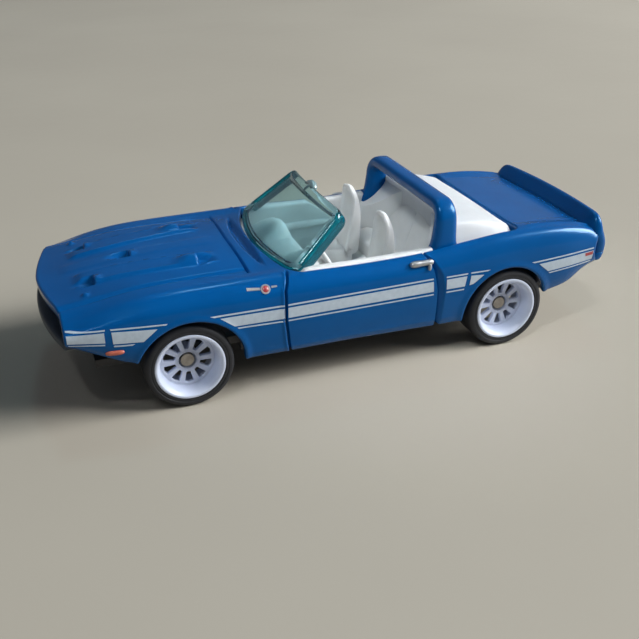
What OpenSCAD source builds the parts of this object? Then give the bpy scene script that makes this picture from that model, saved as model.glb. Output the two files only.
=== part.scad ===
// Diecast collector car, an open two-seat-row convertible at 1:64.
// Millimetres. X points to the nose, Y to the car's left side, Z up.
// The origin is on the ground, halfway between the axles and under the middle of the car.

/* [Overall] */
// Length from the front bumper to the tail
body_l = 75; // [72:0.5:78]
// Width across the doors
body_w = 28.4; // [28:0.1:29]
// Thickness of the cast shell
wall = 1.2; // [1:0.1:1.3]

/* [Wheels] */
// Distance between the two axles
wheelbase = 42.9; // [42.5:0.1:43.2]
// Outer diameter of a tyre
tyre_d = 10.94; // [10.6:0.02:11]
// Width of a tyre
tyre_w = 4.5; // [4.2:0.1:4.6]
// Distance between the outer faces of the left and right wheels
track_outer = 27.9; // [27.6:0.1:28]
// Diameter of the visible rim
rim_d = 8.6; // [8.4:0.05:8.8]
// Depth of the dished rim in front of the spokes
dish = 1.85; // [1.5:0.05:2]
// Number of spokes in a wheel
spokes = 10; // [8:1:12]
// Diameter of an axle wire
axle_d = 1.2; // [1:0.05:1.3]
// Running clearance on the radius between an axle and its bores
axle_gap = 0.05; // [0.03:0.01:0.08]

/* [Windscreen] */
// Thickness of the clear moulding
glass_t = 0.9; // [0.8:0.05:1]
// Height of the top edge in the middle
glass_top = 21.2; // [20.8:0.1:21.5]

/* [Roll bar] */
// Height of the top of the bar
bar_top = 20.8; // [20.4:0.1:21]
// Half the width of the bar at its feet
bar_half = 12; // [11.8:0.1:12.1]
// Thickness of the bar seen from the front
bar_t = 1.8; // [1.6:0.1:2]

/* [Cabin] */
// Top of the cabin floor above the ground
floor_top = 7.4; // [7:0.1:8]
// Height of a seat back above the ground
seat_top = 18.6; // [18:0.1:19]
// Distance of a seat's middle from the centre line
seat_y = 6.1; // [5.9:0.1:6.2]
// Outer diameter of the steering wheel
steering_d = 5.2; // [4.6:0.1:5.6]

/* [Base] */
// Gap between the base and the ground
clearance = 3.6; // [3.2:0.1:3.8]
// Diameter of a cast rivet post
post_d = 2.6; // [2.2:0.1:2.8]

/* [Hidden] */

FRONT = 1;
REAR = -1;
LEFT = 1;
RIGHT = -1;
overlap = 0.1;

// The curves below are drawn for a 75 by 28.4 mm body and stretched to the chosen size.
kx = body_l / 75;
ky = body_w / 28.4;

// Curves along the body: [x, value]. Heights are above the ground.
crown_z = [[-36.8, 14.3], [-34.5, 14.9], [-24, 15.9], [-20, 16.1], [-12, 15.3], [0, 14.8], [8, 15.1],
    [13, 15.45], [18, 15.4], [26, 15.05], [31, 14.5], [36.8, 13.6]];
fold_z = [[-36.8, 14.2], [-34.5, 14.9], [-24, 15.95], [-20, 16.1], [-12, 15.1], [0, 14.7], [8, 14.85],
    [12.5, 14.75], [18, 14.9], [25, 14.85], [30.5, 14.25], [36.8, 13.6]];
ridge_z = [[-36.8, 14.1], [-34.5, 15], [-26, 16.1], [-21.9, 16.2], [-17.6, 15.85], [-13.8, 15.4],
    [-10.6, 14.8], [-6.4, 14.6], [0.4, 14.55], [5.5, 14.85], [9, 15], [16.5, 15], [22, 14.95],
    [29, 14.4], [33, 13.6], [36.8, 13]];
shoulder_z = [[-36.8, 13.6], [-34.2, 14.8], [-26.5, 15.4], [-21.9, 15.4], [-13.8, 14.7], [-6.4, 13.9],
    [5.5, 14.1], [16.5, 14.2], [24, 14.1], [30, 13.4], [36.8, 12.2]];
waist_z = [[-36.8, 12.2], [-24, 12.6], [-10, 12.4], [10, 12.4], [28, 12.4], [36.8, 11.8]];
hem_z = [[-36.8, 9.9], [-34, 8.9], [-31.9, 7.6], [-27, 6.7], [-15, 4.7], [3, 5], [14.6, 5],
    [28.4, 7.2], [31.7, 8.5], [36.8, 10.4]];
// How far the fold between bonnet and wing, and the widest line, stand from the centre line
fold_y = [[-36.8, 9.6], [-24, 9.4], [-12, 10], [36.8, 10.1]];
waist_y = [[-36.8, 13.7], [-30, 14.1], [-20, 14.2], [24, 14.2], [31, 14.05], [36.8, 13.6]];

// Wheel openings: [middle x, half length, middle height, half height]
arch_front = [21.1, 6.5, 5.3, 6.2];
arch_rear = [-21.2, 6.15, 5.4, 6.2];

wheel_x = wheelbase / 2;
wheel_z = tyre_d / 2;
wheel_face = track_outer / 2;
rim_r = rim_d / 2;
axle_r = axle_d / 2;
bore_r = axle_r + axle_gap;
seat_r = rim_r - 0.25;
lip_t = 0.35;
face_t = 0.6;
window_r = 2.85;
hub_r = 1.4;
hub_recess_r = 1.11;
axle_head_r = 0.82;
axle_head_t = 0.3;
axle_end = wheel_face - dish - 0.08;

// Where the main openings and pieces start and end
cowl_x = 9.95;
cockpit_rear = -23.1;
cockpit_y = 12.13;
nose_x = 36.8;
tail_x = -36.8;
mouth_half = 12.4;
mouth_top = 12.9;
tail_half = 12.2;
line_w = 0.3;
bead_r = 0.85;

// The base: half widths between the wheels and at the axles, thickness, and the rivets' places
base_half_wide = 11.7;
base_half_narrow = 8.6;
base_t = 1;
base_end_lift = 1.1;
post_x = [28.6, -29.4];
post_bore = 0.8;
rivet_r = 0.7;
rivet_head_r = 1.8;

// Cabin
tub_t = 1;
wheel_rake = 62;

// Smooth value of a curve at x: a cubic through its points with flat-limited slopes.
function seg(c, x, i = 0) = (i >= len(c) - 2 || x < c[i + 1][0]) ? i : seg(c, x, i + 1);
function gap_slope(c, i) = (c[i + 1][1] - c[i][1]) / (c[i + 1][0] - c[i][0]);
function slope(c, i) =
    i == 0 ? gap_slope(c, 0)
    : i == len(c) - 1 ? gap_slope(c, i - 1)
    : gap_slope(c, i - 1) * gap_slope(c, i) <= 0 ? 0
    : 2 * gap_slope(c, i - 1) * gap_slope(c, i) / (gap_slope(c, i - 1) + gap_slope(c, i));
function hermite(a, b, ma, mb, h, t) =
    a * (1 + 2 * t) * (1 - t) ^ 2 + b * t ^ 2 * (3 - 2 * t) + h * (ma * t * (1 - t) ^ 2 - mb * t ^ 2 * (1 - t));
function curve(c, x) =
    let (i = seg(c, x), h = c[i + 1][0] - c[i][0], t = (x - c[i][0]) / h)
    hermite(c[i][1], c[i + 1][1], slope(c, i), slope(c, i + 1), h, t);

// Half of a body section at x, from the centre line out and down to the hem: [y, z].
function half_section(x) =
    let (fy = curve(fold_y, x), wy = curve(waist_y, x), fz = curve(fold_z, x), cz = curve(crown_z, x),
        rz = curve(ridge_z, x), sz = curve(shoulder_z, x), wz = curve(waist_z, x), hz = curve(hem_z, x))
    [[0, cz], [fy * 0.35, cz - 0.1 * (cz - fz)], [fy * 0.7, cz - 0.45 * (cz - fz)], [fy, fz],
        [fy + 0.35 * (wy - fy), rz], [wy - 1.6, (rz + sz) / 2 + 0.18], [wy - 0.8, sz],
        [wy - 0.25, (sz + wz) / 2 + 0.12], [wy, wz], [wy, wz - 0.35 * (wz - hz)],
        [wy - 0.2, wz - 0.7 * (wz - hz)], [wy - 0.6, hz + 0.25], [wy - 0.9, hz]];

// The ends are bowed in plan: how far a point at y lies behind the foremost or rearmost point.
function nose_bow(y) = 1.8 * min(abs(y) / 10.1, 1) ^ 1.6;
function tail_bow(y) = 0.35 * (abs(y) / 10) ^ 2 + (abs(y) > 11 ? 0.3 * (abs(y) - 11) ^ 2 : 0);
function bowed(x, y) =
    x > 26 ? x - nose_bow(y) * ((x - 26) / (nose_x - 26)) ^ 1.5
    : x < -26 ? x + tail_bow(y) * ((-26 - x) / (-26 - tail_x)) ^ 1.5
    : x;

// A closed ring round the body at x, taken in by t all round; a hollow runs down past the hem.
function ring(x, t, drop) =
    let (h = half_section(x), n = len(h),
        half = [for (i = [0:n - 1])
            let (y = max(h[i][0] - t * (i < 4 ? 0 : 1), 0), z = h[i][1] - (i < 7 ? t : 0))
            [y, i == n - 1 ? h[i][1] - drop : z]])
    concat([for (p = half) [kx * bowed(x, p[0]), ky * p[0], p[1]]],
        [for (i = [n - 1:-1:1]) [kx * bowed(x, half[i][0]), -ky * half[i][0], half[i][1]]]);

// Skin through a list of rings, with a flat cap at each end.
module loft(rings) {
    n = len(rings[0]);
    m = len(rings);
    points = [for (r = rings) for (p = r) p];
    sides = [for (j = [0:m - 2]) for (i = [0:n - 1]) each
        let (a = j * n + i, b = j * n + (i + 1) % n, c = a + n, d = b + n)
        [[a, d, b], [a, c, d]]];
    half = floor(n / 2);
    first = [for (i = [0:half - 1]) each [[i, i + 1, (n - i) % n], [(n - i) % n, i + 1, n - i - 1]]];
    near = [for (f = first) if (f[0] != f[1] && f[1] != f[2] && f[0] != f[2]) f];
    away = [for (f = near) [f[2] + (m - 1) * n, f[1] + (m - 1) * n, f[0] + (m - 1) * n]];
    polyhedron(points, concat(sides, near, away), convexity = 8);
}

module body_outer() {
    loft([for (x = [nose_x:-1.6:tail_x]) ring(x, 0, 0)]);
}

module body_hollow() {
    front = nose_x - 3;
    steps = 21;
    length = front - (tail_x + 2.4);
    loft([for (i = [0:steps]) ring(front - length * i / steps, wall, 9)]);
}

// Draws its children on the left side and again on the right side.
module both_sides() {
    children();
    mirror([0, 1, 0]) children();
}

// A ball at p, the rounded corner of a hull. The first number is a place along the body.
module bead(p, r = bead_r) {
    translate([kx * p[0], p[1], p[2]]) sphere(r = r, $fn = 16);
}

module wheel_openings() {
    for (a = [arch_front, arch_rear])
        both_sides()
            translate([kx * a[0], 6.6, a[2]])
                scale([a[1], 1, a[3]])
                    rotate([-90, 0, 0])
                        cylinder(r = 1, h = 20, $fn = 40);
}

// Opening over the cabin, from the foot of the windscreen to the boot lid, bowed in front.
module cabin_opening() {
    translate([0, 0, floor_top])
        linear_extrude(20)
            polygon(concat([for (i = [-5:5]) let (y = cockpit_y * i / 5) [kx * (cowl_x - 0.0165 * y * y), y]],
                [[kx * cockpit_rear, cockpit_y - 0.3], [kx * cockpit_rear, 0.3 - cockpit_y]]));
}

// Mouth behind the front bumper, and the space for the rear panel.
module end_mouths() {
    translate([kx * 32, -mouth_half, 4]) cube([10, 2 * mouth_half, mouth_top - 4]);
    translate([kx * -42, -tail_half, 4]) cube([8, 2 * tail_half, 9.6]);
}

// Shut lines of the doors, the bonnet and the boot lid.
module shut_lines() {
    for (x = [8.9, -11])
        both_sides()
            translate([kx * x, ky * 13.75, 5.4]) rotate([0, 4, 0]) cube([line_w, 2, 8.6]);
    translate([kx * 12.7, -10.1, 14.4]) cube([line_w, 20.2, 4]);
    translate([kx * -24.3, -9.2, 15.4]) cube([line_w, 18.4, 4]);
}

// The bar is a flat arch: two raked legs, two rounded shoulders and a top.
module roll_bar() {
    leg_y = bar_half - bead_r;
    shoulder_y = leg_y - 2.3;
    shoulder_height = bar_top - 2.9;
    top_height = bar_top - bar_t / 2;
    both_sides() {
        hull() {
            bead([-11.3, leg_y, 12.5]);
            bead([-13.8, leg_y, 12.5]);
            bead([-12.3, leg_y - 0.2, shoulder_height]);
            bead([-13.6, leg_y - 0.2, shoulder_height]);
        }
        hull() {
            bead([-12.3, leg_y - 0.2, shoulder_height]);
            bead([-13.6, leg_y - 0.2, shoulder_height]);
            bead([-12.5, shoulder_y, top_height]);
            bead([-13.6, shoulder_y, top_height]);
        }
    }
    hull() both_sides() {
        bead([-12.5, shoulder_y, top_height]);
        bead([-13.6, shoulder_y, top_height]);
    }
}

// Raised lip across the tail, with ends that turn down round the corners.
module tail_lip() {
    lip_r = 0.5;
    hull() both_sides() {
        bead([-34.9, 10.8, 14.7], lip_r);
        bead([-36, 10.8, 16], lip_r);
        bead([-36.8, 10.8, 14.4], lip_r);
    }
    both_sides() hull() {
        bead([-36, 10.8, 16], lip_r);
        bead([-34.9, 10.8, 14.7], lip_r);
        bead([-35.6, 13, 14.2], lip_r);
        bead([-36.1, 13, 10.8], lip_r);
        bead([-36.8, 10.8, 10.8], lip_r);
    }
}

// Bonnet scoops: two in front, one in the middle, two near the windscreen.
module bonnet_scoops() {
    both_sides() {
        hull() {
            bead([31.2, 5.6, 13.9], 0.7);
            bead([28.3, 5.6, 14.3], 0.5);
        }
        hull() {
            bead([17.9, 5.3, 14.8], 0.8);
            bead([23, 5.3, 14.4], 0.6);
        }
    }
    hull() {
        bead([26.2, 0, 14.6], 0.7);
        bead([29.5, 0, 14.1], 0.5);
    }
}

// Two posts hang from the shell. The base is riveted to their ends.
module rivet_posts() {
    foot = clearance + base_end_lift + base_t;
    for (x = post_x)
        translate([kx * x, 0, foot]) difference() {
            cylinder(d = post_d, h = curve(crown_z, x) - wall / 2 - foot, $fn = 24);
            translate([0, 0, -overlap]) cylinder(r = post_bore, h = 4, $fn = 24);
        }
}

module body_shell() {
    color([0.01, 0.27, 0.52]) {
        difference() {
            union() {
                difference() {
                    body_outer();
                    body_hollow();
                    cabin_opening();
                    end_mouths();
                    shut_lines();
                }
                roll_bar();
                tail_lip();
                bonnet_scoops();
            }
            wheel_openings();
        }
        rivet_posts();
    }
}

// Casting under the car: a wide pan between the wheels, a narrow spine over the axles,
// two axle blocks and countersunk holes for the rivets.
module base_plate() {
    pan_x = kx * 13.9;
    block_x = 2;
    color([0.12, 0.12, 0.13]) difference() {
        union() {
            translate([kx * -32.8, -base_half_narrow, clearance + base_end_lift])
                cube([kx * 64.8, 2 * base_half_narrow, base_t]);
            translate([-pan_x, -base_half_wide, clearance + base_end_lift])
                cube([2 * pan_x, 2 * base_half_wide, base_t]);
            translate([-pan_x, -base_half_narrow, clearance])
                cube([2 * pan_x, 2 * base_half_narrow, base_end_lift + base_t]);
            for (end = [FRONT, REAR])
                translate([end * wheel_x - block_x, -base_half_narrow, clearance + base_end_lift])
                    cube([2 * block_x, 2 * base_half_narrow, wheel_z - clearance]);
        }
        for (end = [FRONT, REAR])
            translate([end * wheel_x, -base_half_wide, wheel_z]) rotate([-90, 0, 0])
                cylinder(r = bore_r, h = 2 * base_half_wide, $fn = 32);
        for (x = post_x)
            translate([kx * x, 0, clearance]) {
                cylinder(r = rivet_head_r, h = base_end_lift + 0.4, $fn = 32);
                cylinder(r = rivet_r, h = 6, $fn = 32);
            }
    }
}

// Two rivets: a flat head in the base and a shank up into the post.
module base_rivets() {
    color([0.7, 0.7, 0.72]) for (x = post_x)
        translate([kx * x, 0, clearance + base_end_lift - 0.1]) {
            cylinder(r = rivet_head_r, h = 0.5, $fn = 32);
            cylinder(r = rivet_r, h = 4, $fn = 32);
        }
}

// A bar bowed in plan, wide in Y: its front follows the nose or the tail.
module bowed_bar(x_front, bow, half, z0, z1, depth) {
    steps = 8;
    front = [for (i = [-steps:steps]) let (y = half * i / steps) [kx * (x_front - bow * (y / half) ^ 2), y]];
    translate([0, 0, z0]) linear_extrude(z1 - z0)
        polygon(concat(front, [[front[0][0] - depth, half], [front[0][0] - depth, -half]]));
}

// Dark insert in the nose: a recessed grille with two lamps, the bumper bar and the chin.
module front_grille() {
    half = mouth_half - 0.15;
    color([0.1, 0.11, 0.14]) {
        bowed_bar(34.9, 1, half, 8.9, mouth_top - 0.1, 0.9);
        bowed_bar(37.5, 2, half, 8.9, 10.3, 2);
        bowed_bar(36.4, 1.2, half - 4, 7.6, 9, 2);
        for (i = [-3:3])
            bowed_bar(35.2, 1, half - 3.2, 11.5 + 0.35 * i - 0.06, 11.5 + 0.35 * i + 0.06, 0.4);
        both_sides() translate([kx * 33.9, 10.5, 11.5]) rotate([0, 90, 0]) cylinder(r = 1.25, h = 1.5, $fn = 32);
    }
    color([0.1, 0.11, 0.14]) translate([kx * 30.6, -5, clearance + base_end_lift + base_t])
        cube([kx * 4.2, 10, 4]);
}

// Dark panel across the tail with two rows of three lamps, and the rear bumper under it.
module tail_panel() {
    half = tail_half - 2.1;
    color([0.16, 0.16, 0.18]) mirror([1, 0, 0]) {
        bowed_bar(36.2, 0.5, half, 9.2, 13.4, 1);
        bowed_bar(37.5, 1.1, half + 1, 8.9, 10.2, 1.2);
        for (i = [-2.5:2.5])
            translate([kx * 35.9, i * 1.7 + sign(i) * 4.1, 11.6]) cube([0.5, 1.3, 1.9], center = true);
        translate([kx * 30.9, -5, clearance + base_end_lift + base_t]) cube([kx * 4.6, 10, 3.45]);
    }
}

// Side view of a tub wall: its top follows the belt line of the doors and steps down at the roll bar's foot.
module wall_outline() {
    polygon([[kx * 8, floor_top - tub_t], [kx * 8, 12.5], [kx * 6.2, 12.8], [kx * 6.2, 14.58], [kx * 5.5, 14.6],
        [kx * 0.4, 14.35], [kx * -6.4, 14.4], [kx * -10.2, 14.55], [kx * -10.2, 11.4], [kx * -14.8, 11.4],
        [kx * -14.8, floor_top - tub_t]]);
}

// White moulding of the whole cabin: floor, side walls, rear bench and folded roof cover.
module cabin_tub() {
    wall_y = cockpit_y - 0.35;
    bench_half = 10.1;
    color([0.87, 0.89, 0.9]) {
        translate([kx * -14.8, -wall_y, floor_top - tub_t]) cube([kx * 22.8, 2 * wall_y, tub_t]);
        both_sides() translate([0, wall_y, 0]) rotate([90, 0, 0]) linear_extrude(tub_t - 0.2) wall_outline();
        rotate([90, 0, 0]) linear_extrude(2 * bench_half, center = true)
            polygon([[kx * -9.2, floor_top - tub_t], [kx * -9.2, 9.6], [kx * -12.4, 10.1], [kx * -14.9, 16.9],
                [kx * -15.6, 16.9], [kx * -15.6, floor_top - tub_t]]);
        hull() both_sides() {
            bead([-15.3, 9.7, 17], 0.5);
            bead([-15.3, 11.2, 14.6], 0.5);
            bead([-22.4, 11.2, 15.8], 0.4);
            bead([-22.4, 11.2, 14.6], 0.4);
        }
    }
}

// Dashboard with a hood over each end and a stub that carries the steering wheel.
module dashboard() {
    color([0.87, 0.89, 0.9]) {
        translate([kx * 3.2, -10.9, floor_top]) cube([kx * 3.6, 21.8, 5.6]);
        translate([kx * 3.2, -8, 12]) cube([kx * 5.6, 16, 0.95]);
        both_sides() hull() {
            bead([6.2, 8.6, 13.3], 0.9);
            bead([6.2, 3.6, 13.3], 0.9);
            bead([3.8, 7.9, 13], 0.9);
            bead([3.8, 4.3, 13], 0.9);
        }
        translate([kx * 2.9, seat_y, 12.4]) rotate([0, -wheel_rake, 0])
            cylinder(r = 0.5, h = 1.4, center = true, $fn = 24);
    }
}

// Steering wheel: a rim, a hub and three spokes.
module steering_wheel() {
    rim = 0.33;
    color([0.87, 0.89, 0.9])
        translate([kx * 1.9, seat_y, 12.9]) rotate([0, -wheel_rake, 0]) {
            rotate_extrude($fn = 40) translate([steering_d / 2 - rim, 0]) circle(r = rim, $fn = 16);
            cylinder(r = 0.7, h = 0.7, center = true, $fn = 24);
            for (a = [0, 120, 240])
                rotate(a) translate([0, -0.3, -0.15]) cube([steering_d / 2 - rim, 0.6, 0.3]);
        }
}

// Bucket seat with a tall rounded back. Its middle is at y.
module seat(y) {
    half = 2.3;
    color([0.87, 0.89, 0.9]) translate([0, y, 0]) {
        hull() for (side = [-1, 1]) {
            bead([-1.6, side * (half - 0.7), floor_top + 2.2], 0.7);
            bead([-1.6, side * (half - 0.7), floor_top + 0.7], 0.7);
            bead([-7.6, side * (half - 0.7), floor_top + 1.6], 0.7);
            bead([-7.6, side * (half - 0.7), floor_top + 0.7], 0.7);
        }
        hull() {
            for (side = [-1, 1]) {
                bead([-4.9, side * (half - 0.6), floor_top + 2.4], 0.6);
                bead([-8.2, side * (half - 0.6), floor_top + 2.4], 0.6);
                bead([-5.9, side * (half - 0.9), seat_top - 3.4], 0.7);
                bead([-6.3, side * 0.7, seat_top - 1.1], 0.9);
            }
        }
    }
}
module driver_seat() seat(seat_y);
module passenger_seat() seat(-seat_y);

// Point of the windscreen's outer face: u runs across from -1 to 1, v up from 0 to 1.
function glass_point(u, v, t) =
    let (corner = abs(u) > 0.8 ? 0.12 * ((abs(u) - 0.8) / 0.2) ^ 2 : 0,
        h = v * (1 - corner), y0 = 11.6 * u, y1 = 9.2 * u,
        x0 = 9.8 - 0.0165 * y0 ^ 2, x1 = 1.6 - 0.012 * y1 ^ 2, z1 = glass_top - 0.0085 * y1 ^ 2)
    [kx * (x0 + (x1 - x0) * h) - 0.62 * t, y0 + (y1 - y0) * h, 14.7 + (z1 - 14.7) * h - 0.78 * t];

// Clear moulding: a curved pane, the mirror on its header and a foot that stands on the dashboard.
module windscreen() {
    nu = 20;
    nv = 6;
    function face(t) = [for (i = [0:nu]) for (j = [0:nv]) glass_point(2 * i / nu - 1, j / nv, t)];
    k = nv + 1;
    m = (nu + 1) * k;
    front = [for (i = [0:nu - 1]) for (j = [0:nv - 1]) each let (a = i * k + j)
        [[a, a + 1, a + k], [a + 1, a + k + 1, a + k]]];
    back = [for (f = front) [f[2] + m, f[1] + m, f[0] + m]];
    border = concat([for (i = [0:nu]) i * k], [for (j = [1:nv]) nu * k + j], [for (i = [nu - 1:-1:0]) i * k + nv],
        [for (j = [nv - 1:-1:1]) j]);
    b = len(border);
    edge = [for (i = [0:b - 1]) each let (p = border[i], q = border[(i + 1) % b]) [[p, q, p + m], [q, q + m, p + m]]];
    color([0.35, 0.75, 0.75, 0.5]) {
        polyhedron(concat(face(0), face(glass_t)), concat(front, back, edge), convexity = 4);
        hull() {
            bead([1, -0.8, glass_top - 0.2], 0.5);
            bead([1, 0.8, glass_top - 0.2], 0.5);
            bead([0.6, 0, glass_top - 0.5], 0.5);
        }
        translate([kx * 7.5, -6, 13]) cube([kx * 1.3, 12, 1.45]);
    }
}

// Steel wire through a block of the base, with a flattened head at each end.
module axle(end) {
    color([0.6, 0.58, 0.55])
        translate([end * wheel_x, 0, wheel_z]) rotate([90, 0, 0]) {
            cylinder(r = axle_r, h = 2 * axle_end, center = true, $fn = 32);
            for (side = [LEFT, RIGHT])
                translate([0, 0, side * (axle_end - axle_head_t / 2)])
                    cylinder(r = axle_head_r, h = axle_head_t, center = true, $fn = 32);
        }
}
module front_axle() axle(FRONT);
module rear_axle() axle(REAR);

// Puts a wheel part, drawn with its outer face at z = 0 and its inside upwards, on a corner of the car.
module on_corner(end, side) {
    translate([end * wheel_x, side * wheel_face, wheel_z]) rotate([side * 90, 0, 0]) children();
}

// Window between two spokes: a wedge that is widest near the rim.
module spoke_window() {
    half_angle = 180 / spokes - 6;
    polygon([[1.55, -0.12], [window_r, -window_r * tan(half_angle)], [window_r + 0.22, 0],
        [window_r, window_r * tan(half_angle)], [1.55, 0.12]]);
}

// Deep-dished wheel: barrel and lip, a spoked face set back in it, and a hub with a bore.
module hub(end, side) {
    color([0.86, 0.89, 0.95]) on_corner(end, side) difference() {
        union() {
            rotate_extrude($fn = 64)
                polygon([[rim_r, 0.08], [rim_r - 0.08, 0], [rim_r - 0.3, 0], [rim_r - 0.55, 0.3],
                    [rim_r - 1, dish], [rim_r - 1, tyre_w - 0.3], [seat_r, tyre_w - 0.3], [seat_r, lip_t], [rim_r, lip_t]]);
            translate([0, 0, dish]) difference() {
                cylinder(r = rim_r - 0.9, h = face_t, $fn = 64);
                for (i = [0:spokes - 1])
                    rotate((i + 0.5) * 360 / spokes) translate([0, 0, -1]) linear_extrude(face_t + 2) spoke_window();
            }
            translate([0, 0, dish - 0.15]) cylinder(r = hub_r, h = tyre_w - dish - 0.2, $fn = 48);
        }
        translate([0, 0, dish - 1]) cylinder(r = hub_recess_r, h = 1.45, $fn = 32);
        cylinder(r = bore_r, h = tyre_w + 1, $fn = 32);
    }
}

// Rubber tyre: flat tread, rounded shoulders with a raised ring, bore that fits the barrel.
module tyre(end, side) {
    r = tyre_d / 2;
    color([0.13, 0.14, 0.15]) on_corner(end, side)
        rotate_extrude($fn = 72)
            polygon([[rim_r, lip_t], [rim_r, 0.12], [rim_r + 0.12, 0.02], [r - 0.45, 0.02], [r - 0.2, 0.12], [r - 0.03, 0.4],
                [r, 0.7], [r, tyre_w - 0.5], [r - 0.15, tyre_w - 0.15], [r - 0.45, tyre_w], [seat_r, tyre_w - 0.2],
                [seat_r, lip_t]]);
}

module hub_front_left() hub(FRONT, LEFT);
module hub_front_right() hub(FRONT, RIGHT);
module hub_rear_left() hub(REAR, LEFT);
module hub_rear_right() hub(REAR, RIGHT);
module tyre_front_left() tyre(FRONT, LEFT);
module tyre_front_right() tyre(FRONT, RIGHT);
module tyre_rear_left() tyre(REAR, LEFT);
module tyre_rear_right() tyre(REAR, RIGHT);

body_shell();
base_plate();
base_rivets();
front_grille();
tail_panel();
cabin_tub();
dashboard();
steering_wheel();
driver_seat();
passenger_seat();
windscreen();
front_axle();
rear_axle();
hub_front_left();
hub_front_right();
hub_rear_left();
hub_rear_right();
tyre_front_left();
tyre_front_right();
tyre_rear_left();
tyre_rear_right();
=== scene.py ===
"""Diecast collector car, an open convertible at 1:64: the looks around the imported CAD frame.

Lengths below are millimetres, in the frame of the CAD model: X to the nose, Y to the car's left
side, Z up, origin on the ground between the axles. MM turns them into Blender's metres.
"""
import math
import bmesh
import bpy
import numpy as np
from mathutils import Matrix, Vector
from mathutils.bvhtree import BVHTree


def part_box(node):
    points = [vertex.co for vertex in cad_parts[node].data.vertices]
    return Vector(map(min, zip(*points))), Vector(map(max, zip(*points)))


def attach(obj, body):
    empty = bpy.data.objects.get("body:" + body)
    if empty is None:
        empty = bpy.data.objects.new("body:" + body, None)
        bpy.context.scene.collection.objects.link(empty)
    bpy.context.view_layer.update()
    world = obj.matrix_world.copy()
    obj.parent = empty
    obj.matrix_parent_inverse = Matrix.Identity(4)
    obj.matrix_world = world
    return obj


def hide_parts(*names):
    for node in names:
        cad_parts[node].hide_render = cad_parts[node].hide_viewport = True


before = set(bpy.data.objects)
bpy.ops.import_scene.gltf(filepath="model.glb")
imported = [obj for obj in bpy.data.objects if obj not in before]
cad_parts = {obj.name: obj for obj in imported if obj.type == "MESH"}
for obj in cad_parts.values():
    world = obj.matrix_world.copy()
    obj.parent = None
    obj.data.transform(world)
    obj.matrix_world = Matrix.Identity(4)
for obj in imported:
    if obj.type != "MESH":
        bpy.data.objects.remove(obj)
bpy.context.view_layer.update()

MM = 0.001
CAR = "car_body"
scene = bpy.context.scene


# ---------------------------------------------------------------- driving dimensions, from the frame

def box_mm(node):
    """Lowest and highest corners of a CAD node at rest, in millimetres."""
    low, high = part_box(node)
    return np.array(low) / MM, np.array(high) / MM


GLASS_TOP = box_mm("windscreen")[1][2]
TYRE_R = box_mm("tyre_front_left")[1][2] / 2
WHEEL_X = sum(corner[0] for corner in box_mm("tyre_front_left")) / 2
WHEEL_FACE = box_mm("hub_front_left")[1][1]
NOSE_X, TAIL_X = 36.8, -36.8   # ends of the curves below, before the nose and the tail are bowed
WALL = 1.2                     # thickness of the casting
RIM = 0.28                     # radius of its edges round the wheels and the cabin
INNER_RIM = 0.15               # the same on the inside
FLOOR_TOP = 7.4
SEAT_Y = 6.1

# Curves along the body as [x, value]. The edge of the doors stands up to 0.25 mm over the CAD's.
CROWN_Z = [[-36.8, 14.3], [-34.5, 14.9], [-24, 15.9], [-20, 16.1], [-12, 15.3], [0, 14.8], [8, 15.1],
           [13, 15.45], [18, 15.4], [26, 15.05], [31, 14.5], [36.8, 13.6]]
FOLD_Z = [[-36.8, 14.2], [-34.5, 14.9], [-24, 15.95], [-20, 16.1], [-12, 15.1], [0, 14.7], [8, 14.85],
          [12.5, 14.75], [18, 14.9], [25, 14.85], [30.5, 14.25], [36.8, 13.6]]
RIDGE_Z = [[-36.8, 14.1], [-34.5, 15], [-26, 16.1], [-21.9, 16.2], [-17.6, 15.85], [-13.8, 15.45],
           [-10.6, 15], [-6.4, 14.85], [0.4, 14.78], [5.5, 14.98], [9, 15.02], [16.5, 15], [22, 14.95],
           [29, 14.4], [33, 13.6], [36.8, 13]]
SHOULDER_Z = [[-36.8, 13.6], [-34.2, 14.8], [-26.5, 15.4], [-21.9, 15.4], [-13.8, 14.7], [-6.4, 14.1],
              [5.5, 14.2], [16.5, 14.2], [24, 14.1], [30, 13.4], [36.8, 12.2]]
WAIST_Z = [[-36.8, 12.2], [-24, 12.6], [-10, 12.4], [10, 12.4], [28, 12.4], [36.8, 11.8]]
HEM_Z = [[-36.8, 9.9], [-34, 8.9], [-31.9, 7.6], [-27, 6.7], [-15, 4.7], [3, 5], [14.6, 5],
         [28.4, 7.2], [31.7, 8.5], [36.8, 10.4]]
FOLD_Y = [[-36.8, 9.6], [-24, 9.4], [-12, 10], [36.8, 10.1]]
WAIST_Y = [[-36.8, 13.7], [-30, 14.1], [-20, 14.2], [24, 14.2], [31, 14.05], [36.8, 13.6]]

# Wheel openings: middle x, half length, middle height, half height
ARCHES = [(21.1, 6.5, 5.3, 6.2), (-21.2, 6.15, 5.4, 6.2)]
# Cabin opening: foremost x, bow of its front edge, rear x, half width
COWL_X, COWL_BOW, CABIN_REAR, CABIN_HALF = 9.95, 0.0165, -23.3, 12.13


# ---------------------------------------------------------------- small numeric helpers

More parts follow.
